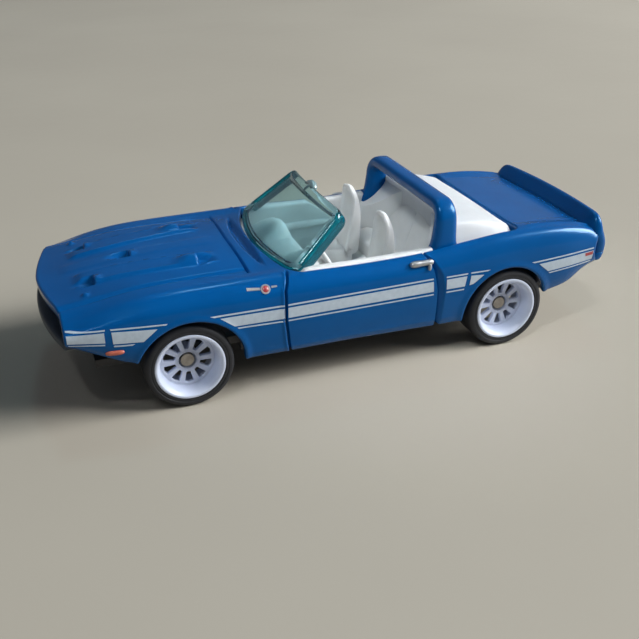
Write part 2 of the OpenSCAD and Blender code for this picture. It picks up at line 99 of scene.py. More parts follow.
def curve(table, x):
    """Smooth value of a curve at x: the cubic of the CAD source, with flat-limited slopes."""
    t = np.asarray(table, float)
    xs, ys = t[:, 0], t[:, 1]
    gap = np.diff(xs)
    slope = np.diff(ys) / gap
    m = np.empty(len(xs))
    m[0], m[-1] = slope[0], slope[-1]
    a, b = slope[:-1], slope[1:]
    m[1:-1] = np.where(a * b <= 0, 0, 2 * a * b / np.where(a + b == 0, 1, a + b))
    x = np.asarray(x, float)
    i = np.clip(np.searchsorted(xs, x, side="right") - 1, 0, len(xs) - 2)
    h = gap[i]
    u = (x - xs[i]) / h
    return (ys[i] * (1 + 2 * u) * (1 - u) ** 2 + ys[i + 1] * u ** 2 * (3 - 2 * u)
            + h * (m[i] * u * (1 - u) ** 2 - m[i + 1] * u ** 2 * (1 - u)))


def soft_curve(table, x, spread=1.4):
    """The same curve, averaged over a short length so that its highlights flow."""
    total = 0.0
    weights = 0.0
    for k in np.linspace(-2, 2, 9):
        w = math.exp(-k * k / 2)
        total = total + w * curve(table, np.clip(np.asarray(x) + k * spread, TAIL_X, NOSE_X))
        weights += w
    return total / weights


def smooth(edge0, edge1, x):
    """0 before edge0, 1 after edge1, eased in between."""
    t = np.clip((np.asarray(x, float) - edge0) / (edge1 - edge0), 0, 1)
    return t * t * (3 - 2 * t)


def bump(x, middle, half):
    """A round hill of height 1."""
    t = np.clip(np.abs(np.asarray(x, float) - middle) / half, 0, 1)
    return (1 - t * t) ** 2


def polyline(points, x):
    """Straight lines through the points, which may run either way along x."""
    p = np.asarray(points, float)
    order = np.argsort(p[:, 0])
    return np.interp(x, p[order, 0], p[order, 1])


def blunt(value, power):
    """A sine or cosine raised to a power with its sign kept, which squares up a round outline."""
    return math.copysign(abs(value) ** power, value)


def around(count):
    """Equal steps round a full turn, in radians."""
    return np.linspace(0, 2 * math.pi, count, endpoint=False)


def spaced(breaks):
    """Values from break to break: each break is (start, step), the last one only ends."""
    values = []
    for (a, step), (b, _) in zip(breaks, breaks[1:]):
        n = max(1, int(round(abs(b - a) / step)))
        values += list(np.linspace(a, b, n, endpoint=False))
    return np.array(values + [breaks[-1][0]])


# ---------------------------------------------------------------- mesh helpers

def make_object(name, mesh_data, material, slot, body=CAR, replaces=None, smooth_angle=40,
                face_materials=None, more_materials=(), inside_out=False):
    """A piece from (vertices, faces), riding on a body.

    Its faces are turned outwards, unless it is to be inside out. They are shaded smooth, with hard
    edges past the smooth angle.
    """
    verts, faces = mesh_data
    mesh = bpy.data.meshes.new(name)
    mesh.from_pydata((np.asarray(verts, float) * MM).tolist(), [], [list(map(int, f)) for f in faces])
    mesh.validate()
    shape = bmesh.new()
    shape.from_mesh(mesh)
    bmesh.ops.recalc_face_normals(shape, faces=shape.faces)
    if inside_out:
        bmesh.ops.reverse_faces(shape, faces=shape.faces)
    shape.to_mesh(mesh)
    shape.free()
    for m in (material, *more_materials):
        mesh.materials.append(m)
    if face_materials is not None:
        mesh.polygons.foreach_set("material_index", np.asarray(face_materials, dtype=np.int32))
    mesh.polygons.foreach_set("use_smooth", [True] * len(mesh.polygons))
    mesh.set_sharp_from_angle(angle=math.radians(smooth_angle))
    obj = bpy.data.objects.new(name, mesh)
    scene.collection.objects.link(obj)
    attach(obj, body)
    if replaces:
        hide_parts(replaces)
    return obj


def both_sides(name, mesh_data, material, slot, smooth_angle=40):
    """A piece on the car's left side and its mirror image on the right."""
    make_object(name + "_left", mesh_data, material, slot, smooth_angle=smooth_angle)
    verts, faces = mesh_data
    mirrored = np.asarray(verts, float) * (1, -1, 1)
    make_object(name + "_right", (mirrored, [f[::-1] for f in faces]), material, slot,
                smooth_angle=smooth_angle)


def grid_faces(rows, columns, close_rows=False, close_columns=False):
    """Quads over a grid of points numbered row by row. A closed direction joins its end to its start."""
    faces = []
    for i in range(rows if close_rows else rows - 1):
        here, below = i * columns, (i + 1) % rows * columns
        for j in range(columns if close_columns else columns - 1):
            beside = (j + 1) % columns
            faces.append((here + j, below + j, below + beside, here + beside))
    return faces


def turned(faces, shift=0):
    """The same faces looking the other way, on points numbered higher by shift."""
    return [(f[0] + shift, *(i + shift for i in f[:0:-1])) for f in faces]


def loft(rings):
    """Closed skin through rings of equal length, capped at both ends: vertices and faces."""
    rings = [np.asarray(r, float) for r in rings]
    n = len(rings[0])
    last = (len(rings) - 1) * n
    faces = turned(grid_faces(len(rings), n, close_columns=True))
    return np.concatenate(rings), faces + [tuple(range(n))[::-1], tuple(range(last, last + n))]


def sheet(front, back):
    """Closed sheet between two equal grids of points. Faces run: front, back, then rim."""
    rows, columns = front.shape[:2]
    n = rows * columns
    faces = grid_faces(rows, columns)
    rim = [*range(columns), *range(2 * columns - 1, n, columns), *range(n - 2, n - columns - 1, -1),
           *range(n - 2 * columns, 0, -columns)]
    sides = [(a, b, b + n, a + n) for a, b in zip(rim, rim[1:] + rim[:1])]
    return np.concatenate([front.reshape(-1, 3), back.reshape(-1, 3)]), faces + turned(faces, n) + sides


def revolve(profile, steps, closed=False):
    """Profile of (radius, depth) turned round the wheel's axis. Depth runs inwards from the face."""
    verts = [(r * math.cos(a), r * math.sin(a), h) for a in around(steps) for r, h in profile]
    return np.array(verts), grid_faces(steps, len(profile), close_rows=True, close_columns=closed)


def join_meshes(parts):
    """One vertex and face list from several."""
    verts, faces, start = [], [], 0
    for v, f in parts:
        verts.append(np.asarray(v, float))
        faces += [tuple(i + start for i in face) for face in f]
        start += len(v)
    return np.concatenate(verts), faces


# ---------------------------------------------------------------- materials

class Nodes:
    """A material's node tree with short ways to add to it."""

    def __init__(self, name):
        self.material = bpy.data.materials.new(name)
        self.material.use_nodes = True
        self.tree = self.material.node_tree
        self.shader = self.tree.nodes["Principled BSDF"]
        self.coords = self.add("ShaderNodeTexCoord").outputs["Object"]

    def add(self, kind, **inputs):
        node = self.tree.nodes.new(kind)
        for key, value in inputs.items():
            node.inputs[key.replace("_", " ")].default_value = value
        return node

    def link(self, a, b):
        self.tree.links.new(a, b)

    def set(self, **inputs):
        for key, value in inputs.items():
            self.shader.inputs[key.replace("_", " ")].default_value = value

    def noise(self, per_mm, detail=3.0, roughness=0.5):
        n = self.add("ShaderNodeTexNoise", Scale=per_mm / MM, Detail=detail, Roughness=roughness)
        self.link(self.coords, n.inputs["Vector"])
        return n.outputs["Fac"]

    def colours(self, factor, dark, light, full=0.7):
        """Base colour from dark at a factor of 0.3 to light at full."""
        ramp = self.add("ShaderNodeValToRGB")
        for stop, position, colour in zip(ramp.color_ramp.elements, (0.3, full), (dark, light)):
            stop.position = position
            stop.color = (*colour, 1)
        self.link(factor, ramp.inputs["Fac"])
        self.link(ramp.outputs["Color"], self.shader.inputs["Base Color"])

    def rough(self, factor, low, high):
        r = self.add("ShaderNodeMapRange", To_Min=low, To_Max=high)
        self.link(factor, r.inputs["Value"])
        self.link(r.outputs["Result"], self.shader.inputs["Roughness"])

    def bumps(self, height, distance_mm, strength=1.0):
        b = self.add("ShaderNodeBump", Strength=strength, Distance=distance_mm * MM)
        self.link(height, b.inputs["Height"])
        self.link(b.outputs["Normal"], self.shader.inputs["Normal"])


def enamel(name, dark, light):
    """Thick gloss enamel: slow colour drift and an uneven gloss under a thin lacquer."""
    m = Nodes(name)
    m.colours(m.noise(0.16, 4), dark, light)
    m.rough(m.noise(0.9, 2), 0.21, 0.28)
    m.set(Coat_Weight=0.22, Coat_Roughness=0.1, Coat_IOR=1.45, Specular_IOR_Level=0.4,
          Specular_Tint=(0.15, 0.6, 1, 1))
    return m.material


def moulded(name, dark, light, rough=(0.38, 0.5), grain=0.01, subsurface=0.0):
    """Satin injection moulding with a faint spark-eroded grain."""
    m = Nodes(name)
    m.colours(m.noise(0.35, 4), dark, light)
    m.rough(m.noise(2.5, 3), *rough)
    m.bumps(m.noise(6, 3), grain, 0.5)
    m.set(Specular_IOR_Level=0.45)
    if subsurface:
        m.set(Subsurface_Weight=subsurface, Subsurface_Scale=1.6 * MM, Subsurface_Radius=(1, 0.95, 0.9))
    return m.material


def printed(name, dark, light, rough=0.35):
    """Tampo-printed ink: slightly uneven cover."""
    m = Nodes(name)
    m.colours(m.noise(1.6, 5, 0.65), dark, light, full=0.62)
    m.rough(m.noise(3, 3), rough, rough + 0.12)
    m.set(Coat_Weight=0.3, Coat_Roughness=0.15)
    return m.material


def clear(name, tint, rough=0.04, depth=0.0):
    """Tinted clear plastic. Depth is the share of its colour that doesn't come from behind it."""
    m = Nodes(name)
    m.colours(m.noise(0.3, 3), tint, [min(1, c * 1.05) for c in tint])
    m.bumps(m.noise(0.4, 2), 0.01, 0.1)
    m.set(Transmission_Weight=1.0 - depth, IOR=1.49, Roughness=rough, Specular_IOR_Level=0.5)
    return m.material


def steel(name, dark, light):
    """Bare wire and rivet metal, lightly brushed."""
    m = Nodes(name)
    m.colours(m.noise(1.5, 4), dark, light)
    m.rough(m.noise(4, 3), 0.3, 0.5)
    m.bumps(m.noise(8, 2), 0.01, 0.4)
    m.set(Metallic=0.85)
    return m.material


def rubber(name, dark, light):
    """Matt tyre rubber."""
    m = Nodes(name)
    m.colours(m.noise(0.8, 5), dark, light)
    m.rough(m.noise(3, 3), 0.5, 0.7)
    m.bumps(m.noise(9, 3), 0.015, 0.5)
    m.set(Specular_IOR_Level=0.4)
    return m.material


BLUE = enamel("blue_enamel", (0.0, 0.069, 0.248), (0.0, 0.079, 0.28))
WHITE = moulded("white_plastic", (0.76, 0.77, 0.76), (0.82, 0.83, 0.82), subsurface=0.7)
# The roof cover is the cabin's white plastic toned darker: painted shade on its top.
COVER_PAINTED_SHADE = moulded("cover_white_painted_shade", (0.6, 0.615, 0.63), (0.66, 0.675, 0.69), subsurface=0.6)
WHEEL = moulded("wheel_white", (0.58, 0.64, 0.8), (0.64, 0.7, 0.86), rough=(0.3, 0.4), subsurface=0.3)
TYRE = rubber("tyre_rubber", (0.012, 0.013, 0.016), (0.019, 0.02, 0.024))
BLACK = moulded("grille_black", (0.018, 0.027, 0.042), (0.03, 0.042, 0.06), grain=0.02)
BASE = moulded("base_metal", (0.025, 0.025, 0.028), (0.04, 0.04, 0.044), grain=0.03)
STEEL = steel("axle_steel", (0.3, 0.27, 0.24), (0.42, 0.39, 0.35))
RIVET = steel("rivet_steel", (0.42, 0.42, 0.43), (0.58, 0.58, 0.59))
STRIPE = printed("stripe_silver", (0.42, 0.5, 0.58), (0.49, 0.57, 0.65))
RED = printed("marker_red", (0.3, 0.03, 0.04), (0.4, 0.045, 0.05))
ORANGE = printed("marker_orange", (0.45, 0.1, 0.06), (0.6, 0.16, 0.1))
CHROME = steel("badge_chrome", (0.4, 0.41, 0.42), (0.52, 0.53, 0.54))
GLASS = clear("teal_clear", (0.47, 0.76, 0.81))
GLASS_EDGE = clear("teal_edge", (0.0, 0.14, 0.2), depth=0.35)
MIRROR = clear("teal_mirror", (0.2, 0.34, 0.36), rough=0.25, depth=0.6)
LAMP = clear("lamp_lens", (0.5, 0.53, 0.56), rough=0.15, depth=0.6)


# ---------------------------------------------------------------- body shell

def nose_bow(y):
    """How far the nose draws back at y."""
    return 1.8 * np.minimum(np.abs(y) / 10.1, 1) ** 1.6


def tail_bow(y):
    """How far the tail draws forward at y."""
    return 0.35 * (np.abs(y) / 10) ** 2 + 0.21 * np.maximum(np.abs(y) - 11, 0) ** 2


def bowed(x, y):
    """Station x moved by the bows, which begin 26 mm from the middle."""
    front = np.clip((x - 26) / (NOSE_X - 26), 0, None) ** 1.5
    rear = np.clip((-26 - x) / (-26 - TAIL_X), 0, None) ** 1.5
    return x - nose_bow(y) * front + tail_bow(y) * rear


def section_points(x):
    """Control points of a half section at each x: arrays of shape (13, len(x)) for y and z."""
    fy, wy = soft_curve(FOLD_Y, x), soft_curve(WAIST_Y, x)
    fz, cz, rz = soft_curve(FOLD_Z, x), soft_curve(CROWN_Z, x), soft_curve(RIDGE_Z, x)
    sz, wz, hz = soft_curve(SHOULDER_Z, x), soft_curve(WAIST_Z, x), soft_curve(HEM_Z, x, 0.8)
    y = [0 * fy, fy * 0.35, fy * 0.7, fy, fy + 0.35 * (wy - fy), wy - 1.6, wy - 0.8, wy - 0.25, wy, wy,
         wy - 0.2, wy - 0.6, wy - 0.9]
    z = [cz, cz - 0.1 * (cz - fz), cz - 0.45 * (cz - fz), fz, rz, (rz + sz) / 2 + 0.18, sz,
         (sz + wz) / 2 + 0.12, wz, wz - 0.35 * (wz - hz), wz - 0.7 * (wz - hz), hz + 0.25, hz]
    return np.array(y), np.array(z)


# The place t along a section counts its control points: 0 at the centre line, SPAN at the hem
SPAN = 12

# Rows of the skin's grid as (t, step), finer on the bonnet's ribs and ducts
ROW_BREAKS = [(0, 0.07), (0.35, 0.12), (0.75, 0.055), (1.15, 0.08), (1.3, 0.055), (2, 0.09), (2.2, 0.07),
              (2.5, 0.09), (2.7, 0.06), (3.3, 0.15), (5, 0.16), (8, 0.12), (11, 0.25), (SPAN, 1)]


def section_point(x, t):
    """The smooth surface at station x and place t along the section. Same-shaped arrays."""
    t = np.clip(t, 0, SPAN)
    found = []
    for values, crosses_over in zip(section_points(x), (True, False)):

        def sign(negative):
            """The right half's y is the left half's with the other sign; z is the same."""
            return np.where(negative & crosses_over, -1, 1)

        def at(index):
            near = np.clip(np.abs(index), 0, SPAN)[None]
            return sign(index < 0) * np.take_along_axis(values, near, 0)[0]

        total = 0.0
        for offset, weight in ((-0.45, 0.25), (0, 0.5), (0.45, 0.25)):
            place = t + offset * np.minimum(1, SPAN - t)
            flat = np.clip(np.abs(place), 0, SPAN)
            i = np.clip(np.floor(flat).astype(int), 0, SPAN - 1)
            u = flat - i
            p0, p1, p2, p3 = at(i - 1), at(i), at(i + 1), at(i + 2)
            p3 = np.where(i + 2 > SPAN, 2 * p2 - p1, p3)
            m1, m2 = (p2 - p0) / 2, (p3 - p1) / 2
            value = (p1 * (1 + 2 * u) * (1 - u) ** 2 + p2 * u ** 2 * (3 - 2 * u)
                     + m1 * u * (1 - u) ** 2 - m2 * u ** 2 * (1 - u))
            total = total + weight * value * sign(place < 0)
        found.append(total)
    y, z = found
    return np.stack([bowed(x, y), y, z], -1)


# Lines on the body that its columns follow: (z, x) points on the side, (y, x) points on the bonnet
DOOR_FRONT = [(5.05, 8.8), (6.1, 9.04), (9.64, 9.46), (13.4, 9.35), (14.85, 8.69), (15.3, 8.31)]
DOOR_REAR = [(4.7, -10.85), (7.27, -10.85), (10.15, -10.82), (12.3, -10.4), (14.06, -9.88), (15.2, -8.95)]
SCOOP_REAR = [(4.7, -11.75), (7.82, -11.82), (9.95, -11.97), (12.13, -11.54), (14.11, -10.43), (15.2, -9.2)]
BONNET_REAR = [(-13, 12.5), (-10.8, 12.5), (0, 13.2), (10, 12.95), (13, 12.8)]

# Columns of the skin's grid as (x, step), finer where the relief is steep
COLUMN_BREAKS = [(NOSE_X, 0.2), (34, 0.3), (31, 0.13), (29.9, 0.3), (26, 0.13), (25.1, 0.3), (18.7, 0.13),
                 (17.5, 0.3), (14.2, 0.2), (13.2, 0.1), (12.2, 0.2), (10.4, 0.2), (9.5, 0.08), (8.9, 0.2),
                 (7.8, 0.5), (-8.6, 0.2), (-10, 0.1), (-11.4, 0.14), (-12.8, 0.35), (-23.8, 0.2),
                 (-24.6, 0.45), (-34, 0.25), (TAIL_X, 1)]


def pulled_columns(x, t):
    """Columns lean so that one of them runs along each shut line of the door and bonnet."""
    flat = section_point(x, t)
    y, z = np.abs(flat[..., 1]), flat[..., 2]
    side = smooth(3.4, 5.2, t)
    # Each pull: how far its line strays from a straight column, and where it is felt along the body
    front = (polyline(DOOR_FRONT, z) - 9.2) * bump(x, 9.2, 3.5)
    rear = (polyline(DOOR_REAR, z) + 10.6) * bump(x, -10.7, 3.5)
    bonnet = (polyline(BONNET_REAR, y) - 12.7) * bump(x, 12.7, 2.4)
    return x + side * (front + rear) + (1 - side) * bonnet


def arch_distance(x, z):
    """Distance outside the nearest wheel opening, in millimetres."""
    best = None
    for mx, hx, mz, hz in ARCHES:
        dx, dz = (x - mx) / hx, (z - mz) / hz
        r = np.sqrt(dx * dx + dz * dz) + 1e-9
        grad = np.sqrt((dx / hx) ** 2 + (dz / hz) ** 2) / r + 1e-9
        d = (r - 1) / grad
        best = d if best is None else np.minimum(best, d)
    return best


def cabin_distance(x, y):
    """Distance outside the cabin opening, with rounded corners."""
    y = np.abs(y)
    corner = 0.9
    front = x - (COWL_X - COWL_BOW * y ** 2)
    rear = CABIN_REAR - x
    side = y - CABIN_HALF
    a = np.maximum(np.maximum(front, rear) + corner, 0)
    b = np.maximum(side + corner, 0)
    return np.hypot(a, b) + np.minimum(np.maximum(np.maximum(front, rear), side) + corner, 0) - corner


def groove(distance, half, depth):
    """Shut line: a narrow valley with rounded shoulders."""
    return -depth * np.exp(-(distance / half) ** 4)


def bonnet_relief(x, y):
    """Height of the bonnet's ribs, scoops and shut lines above its plain crown."""
    y = np.abs(y)
    inner = polyline([(15.4, 3.9), (18.6, 3.9), (23.5, 3.4), (28.3, 2.9), (31.5, 2.8)], x)
    outer = polyline([(19.2, 6.6), (25.2, 6.35), (29.9, 5.95), (33, 5.95)], x)
    along = smooth(33.2, 31.5, x) * smooth(15.2, 17.4, x)
    rib = 0.34 * smooth(inner - 0.2, inner + 0.2, y) * smooth(outer + 0.2, outer - 0.2, y) * along
    rib = rib + 0.08 * (bump(y, inner, 0.6) + bump(y, outer, 0.6)) * along
    middle = 5.35
    ramp = smooth(33.4, 30.9, x) * smooth(30.4, 30.7, x)
    half = 0.2 + 0.5 * smooth(33.4, 30.9, x)
    duct = -0.8 * ramp * smooth(half + 0.3, half - 0.12, np.abs(y - middle))
    brow = 0.24 * bump(x, 30.15, 0.85) * bump(y, middle, 1.1)
    ramp_mid = smooth(28.9, 26, x) * smooth(25.4, 25.7, x)
    half_mid = 0.2 + 0.5 * smooth(28.9, 26, x)
    duct_mid = -0.75 * ramp_mid * smooth(half_mid + 0.3, half_mid - 0.12, y)
    brow_mid = 0.2 * bump(x, 25.15, 0.8) * bump(y, 0, 1.1)
    scoop = 0.6 * smooth(21.4, 18.9, x) * smooth(17.8, 18.35, x) * bump(y, 5.4, 1.35)
    recess = -0.75 * smooth(18.25, 17.8, x) * smooth(15.4, 17.2, x)
    recess = recess * smooth(1.4, 0.7, np.abs(y - 5.6) * (1 + 0.25 * (18 - x)))
    pin = 0.42 * bump(x, 31.9, 0.5) * bump(y, 8.2, 0.5)
    raised = 0.14 * smooth(9.5, 9.2, y) * smooth(12.75, 13.2, x)
    side = polyline([(12, 9.3), (23.5, 9.55), (35, 9.85)], x)
    edge = groove(y - side, 0.2, 0.2) * smooth(12.8, 13.4, x) * smooth(35.8, 34.6, x)
    rear = x - polyline(BONNET_REAR, y)
    gap = -0.5 * smooth(0.1, -0.02, rear) * smooth(-0.36, -0.22, rear) * smooth(10.3, 9.2, y)
    behind = x + COWL_BOW * y ** 2
    wiper = -0.7 * smooth(11.95, 11.3, behind) * smooth(9.9, 10.2, behind) * smooth(10.0, 8.4, y)
    spine = 0.08 * smooth(1.5, 0.9, y) * smooth(34.5, 33, x) * smooth(14.5, 16, x)
    front = smooth(10.2, 10.8, x)
    return front * (rib + duct + brow + duct_mid + brow_mid + scoop + recess + pin + raised + edge + gap
                    + wiper + spine)


def deck_relief(x, y):
    """Faint side edges of the boot lid."""
    y = np.abs(y)
    lid = -0.06 * smooth(9.2, 9.9, y) * smooth(11.0, 10.0, y) * smooth(-23.4, -24.4, x)
    return lid + 0.16 * bump(y, 11.6, 0.35) * smooth(-23.6, -25.5, x)


def door_relief(x, z):
    """Shut lines of the doors; behind the rear one the quarter rises out of a scoop."""
    ahead = x - polyline(DOOR_FRONT, z)
    gap = groove(ahead, 0.14, 0.42) + 0.1 * np.exp(-((ahead - 0.36) / 0.17) ** 2)
    left, right = polyline(DOOR_REAR, z), polyline(SCOOP_REAR, z)
    u = np.clip((left - x) / np.maximum(left - right, 0.15), -1, 2)
    return gap - 0.75 * smooth(0, 0.14, u) * np.clip(1 - u, 0, 1)


def side_relief(x, z):
    """Height of the wheel lips and the rocker crease above the plain side."""
    d = arch_distance(x, z)
    lip = 0.2 * smooth(1.05, 0.0, d)
    crease = 0.07 * np.exp(-((z - 5.75) / 0.28) ** 2) * smooth(14, 12, x) * smooth(-14, -12.5, x)
    return lip + crease


def body_surface(x, t):
    """Outer skin of the left half with all its relief: positions and normals."""
    base = section_point(x, t)
    dx, dt = 0.05, 0.03
    ahead, behind = (section_point(np.clip(x + d, TAIL_X, NOSE_X), t) for d in (dx, -dx))
    down, up = section_point(x, np.minimum(t + dt, SPAN)), section_point(x, t - dt)
    normal = np.cross(ahead - behind, down - up)
    normal /= np.linalg.norm(normal, axis=-1, keepdims=True) + 1e-12
    on_top = smooth(0.35, 0.75, normal[..., 2])
    on_side = smooth(0.55, 0.85, normal[..., 1])
    px, py, pz = np.moveaxis(base, -1, 0)
    lift = on_top * (bonnet_relief(px, py) + deck_relief(px, py)) + on_side * side_relief(px, pz)
    lift = lift + smooth(3.9, 4.3, t) * door_relief(px, pz)
    return base + normal * lift[..., None], normal


def opening_distance(base):
    """Distance outside the nearest opening; cabin openings only count on the upper skin."""
    x, y, z = base[..., 0], base[..., 1], base[..., 2]
    cabin = np.where(z > 12.9, cabin_distance(x, y), 9.0)
    wheels = np.where(y > 10, arch_distance(x, z), 9.0)
    return np.minimum(cabin, wheels)


def shell_grid():
    """Half of the outer skin as a grid whose borders lie a rim's width outside the openings.

    Returns station and place of each point, and which of the quads between them are kept.
    """
    s, t = np.meshgrid(spaced(COLUMN_BREAKS), spaced(ROW_BREAKS), indexing="ij")
    x = pulled_columns(s, t)
    distance = opening_distance(section_point(x, t))
    keep = (distance[:-1, :-1] + distance[1:, :-1] + distance[:-1, 1:] + distance[1:, 1:]) / 4 > RIM
    shifts = [((a, 1 - a), (b, 1 - b)) for a in (0, 1) for b in (0, 1)]
    used = np.any([np.pad(keep, shift) for shift in shifts], axis=0)
    whole = np.all([np.pad(keep, shift, constant_values=True) for shift in shifts], axis=0)
    edge = used & ~whole
    # Slide the border points along the skin onto the line. In t, a step is about half as long as in x.
    t_scale, nudge, ease, rounds = 0.55, 0.04, 0.9, 8
    for _ in range(rounds):
        xe, te = x[edge], t[edge]
        here, ahead, along = (opening_distance(section_point(xe + a, te + b)) - RIM
                              for a, b in ((0, 0), (nudge, 0), (0, nudge)))
        gx, gt = (ahead - here) / nudge, (along - here) / nudge
        steep = gx ** 2 + (gt * t_scale) ** 2 + 1e-6
        x[edge] = xe - ease * here * gx / steep
        t[edge] = te - ease * here * gt * t_scale ** 2 / steep
    return x, t, keep


def outer_skin():
    """Both halves of the outer skin, joined along the centre line: points, normals, faces."""
    x, t, keep = shell_grid()
    points, normals = body_surface(x, t)
    points[:, 0, 1] = 0
    normals[:, 0, 1] = 0
    quads = np.array(grid_faces(*x.shape))[keep.ravel()]
    used, faces = np.unique(quads, return_inverse=True)
    faces = faces.reshape(-1, 4)
    one_sided = used % x.shape[1] > 0
    n = len(used)
    twin = np.arange(n)
    twin[one_sided] = n + np.arange(one_sided.sum())
    halves = [a.reshape(-1, 3)[used] for a in (points, normals)]
    points, normals = (np.concatenate([a, a[one_sided] * (1, -1, 1)]) for a in halves)
    faces = np.concatenate([faces[:, ::-1], twin[faces]])
    return points, normals, [tuple(f) for f in faces.tolist()]


def thicken(points, normals, faces):
    """A closed skin from an open one: rounded rims along every border and an inner face."""
    edges = dict.fromkeys((a, b) for f in faces for a, b in zip(f, f[1:] + f[:1]))
    border = [(a, b) for a, b in edges if (b, a) not in edges]
    after = dict(border)
    before = {b: a for a, b in border}
    n = len(points)
    corner = 0.3 * INNER_RIM
    chains, rims = {}, []
    for k in after:
        out = np.cross(points[after[k]] - points[before[k]], normals[k])
        out /= np.linalg.norm(out)
        ring = [points[k] + RIM * (math.sin(a) * out + (math.cos(a) - 1) * normals[k])
                for a in np.radians((22, 45, 68, 90))]
        ring += [points[k] + RIM * out - (WALL - INNER_RIM) * normals[k],
                 points[k] + (RIM - corner) * out - (WALL - corner) * normals[k]]
        start = 2 * n + len(rims)
        chains[k] = [k, *range(start, start + len(ring)), k + n]
        rims += ring
    closed = faces + [tuple(i + n for i in f[::-1]) for f in faces]
    for a, b in border:
        for a0, a1, b0, b1 in zip(chains[a], chains[a][1:], chains[b], chains[b][1:]):
            closed.append((b0, a0, a1, b1))
    return np.concatenate([points, points - WALL * normals, rims]), closed


def body_shell():
    """The painted casting. Returns a search tree of its skin, which the trim is laid on."""
    verts, faces = thicken(*outer_skin())
    make_object("body_skin", (verts, faces), BLUE, "blue_enamel", replaces="body_shell", smooth_angle=60)
    return BVHTree.FromPolygons([Vector(v) for v in verts], faces)


def surface_at(x, z):
    """Points on the car's left side at the given x and height, and the normals there."""
    x, z = np.broadcast_arrays(np.asarray(x, float), np.asarray(z, float))
    points, normals = np.empty(x.shape + (3,)), np.empty(x.shape + (3,))
    for i in np.ndindex(x.shape):
        hit, normal, _, _ = SKIN.ray_cast(Vector((x[i], 25, z[i])), Vector((0, -1, 0)))
        if hit is None:
            hit, normal, _, _ = SKIN.find_nearest(Vector((x[i], 14, z[i])))
        points[i], normals[i] = hit, normal
    return points, normals


def roll_bar():
    """Arch behind the seats: raked legs with spread feet, round shoulders and a flat top."""
    path = []   # from the left foot to the middle: y, z, front x, rear x, half thickness
    foot_z = 12.6
    for z in (foot_z, 13.6, 14.3, 14.8, 15.3, 16.0, 16.8, 17.6):
        spread = 0.3 * smooth(15.6, 14.4, z)
        k = (z - foot_z) / 5
        path.append((11.16 - 0.14 * k, z, -10.75 - 0.75 * k + spread, -14.6 + 0.1 * k - spread,
                     0.86 + spread * 0.3))
    corner_y, corner_z, corner_r = 9.15, 18.15, 1.85
    for a in np.radians(np.linspace(4, 86, 12)):
        path.append((corner_y + corner_r * math.cos(a), corner_z + corner_r * math.sin(a) * 0.97,
                     -11.52 - 0.3 * math.sin(a), -14.48 + 0.04 * math.sin(a), 0.85))
    for y in np.linspace(8.6, 0, 10):
        path.append((y, 19.95 + 0.02 * (1 - (y / 8.6) ** 2), -11.85, -14.44, 0.85))
    path += [(-y, *rest) for y, *rest in path[-2::-1]]
    tangents = np.gradient(np.array([station[:2] for station in path]), axis=0)
    tangents /= np.linalg.norm(tangents, axis=1, keepdims=True)
    rings = []
    for (y, z, front, rear, half), (ty, tz) in zip(path, tangents):
        ring = []
        for a in around(36):
            x = blunt(math.cos(a), 0.62) * (front - rear) / 2 + (front + rear) / 2
            out = blunt(math.sin(a), 0.72) * half
            ring.append((x, y + tz * out, z - ty * out))
        rings.append(ring)
    make_object("roll_bar", loft(rings), BLUE, "blue_enamel")


# Outline of the tail lip in the middle and at the ends: x, and height over its path
LIP_MIDDLE = [(-34.3, -0.35), (-34.62, 0.05), (-35.1, 0.72), (-35.55, 1.3), (-35.85, 1.55), (-36.2, 1.6),
              (-36.5, 1.42), (-36.9, 0.6), (-37.2, -0.4), (-37.3, -1.3), (-36.7, -1.8), (-35.2, -1.3)]
LIP_END = [(-34.5, -0.12), (-34.6, 0.1), (-34.85, 0.22), (-35.2, 0.27), (-35.6, 0.26), (-35.9, 0.16),
           (-36.1, -0.05), (-36.25, -0.4), (-36.3, -0.9), (-36.1, -1.4), (-35.6, -1.6), (-34.8, -1.1)]


def tail_lip():
    """Raised lip across the boot lid that turns down round both corners of the tail."""
    # Stations from the middle outwards: y, z, lean of the section in degrees, share of the end
    # outline, and how far the outline sinks
    top = 15.0
    stations = [(y, top - 0.0012 * y * y, 0, 0, 0) for y in (0, 2, 4, 6, 8, 9.4, 10.3)]
    for angle in (15, 30, 45, 60, 75, 86):
        a = math.radians(angle)
        stations.append((10.7 + 2.25 * math.sin(a), top - 1.5 * (1 - math.cos(a)), angle,
                         smooth(0, 80, angle), 0))
    for z in (13.1, 12.7, 12.2, 11.7, 11.3, 11.12, 11.04, 10.96, 10.7, 10.3, 9.95, 9.78):
        notch = 0.16 * math.exp(-((z - 11.05) / 0.06) ** 2)
        fade = 0.25 * smooth(10.1, 9.75, z)
        stations.append((12.97 - 0.05 * (13.1 - z), z, 90, 1, notch + fade))
    rings = []
    for y, z, angle, share, sink in stations:
        a = math.radians(angle)
        bow = tail_bow(min(y, 10.6))
        lean = polyline([(9.7, -0.35), (11, -0.75), (12.4, -0.78), (14.7, 0), (16, 0)], z)
        ring = []
        for (mx, mo), (ex, eo) in zip(LIP_MIDDLE, LIP_END):
            x = (1 - share) * (mx + bow) + share * (ex + lean)
            out = (1 - share) * mo + share * eo - sink
            ring.append((x, y + out * math.sin(a), z + out * math.cos(a)))
        rings.append(ring)
    right = [[(x, -y, z) for x, y, z in ring] for ring in rings[1:]]
    lip = make_object("tail_lip", loft(rings[::-1] + right), BLUE, "blue_enamel", smooth_angle=50)
    rounding = lip.modifiers.new("rounding", "SUBSURF")
    rounding.levels = rounding.render_levels = 1


# ---------------------------------------------------------------- printed trim on the sides

PRINT_CELL = 0.3    # length of a print's grid cells
PRINT_LIFT = 0.03   # how far ink stands off the paint
PRINT_SINK = 0.05   # how deep its underside lies in the paint


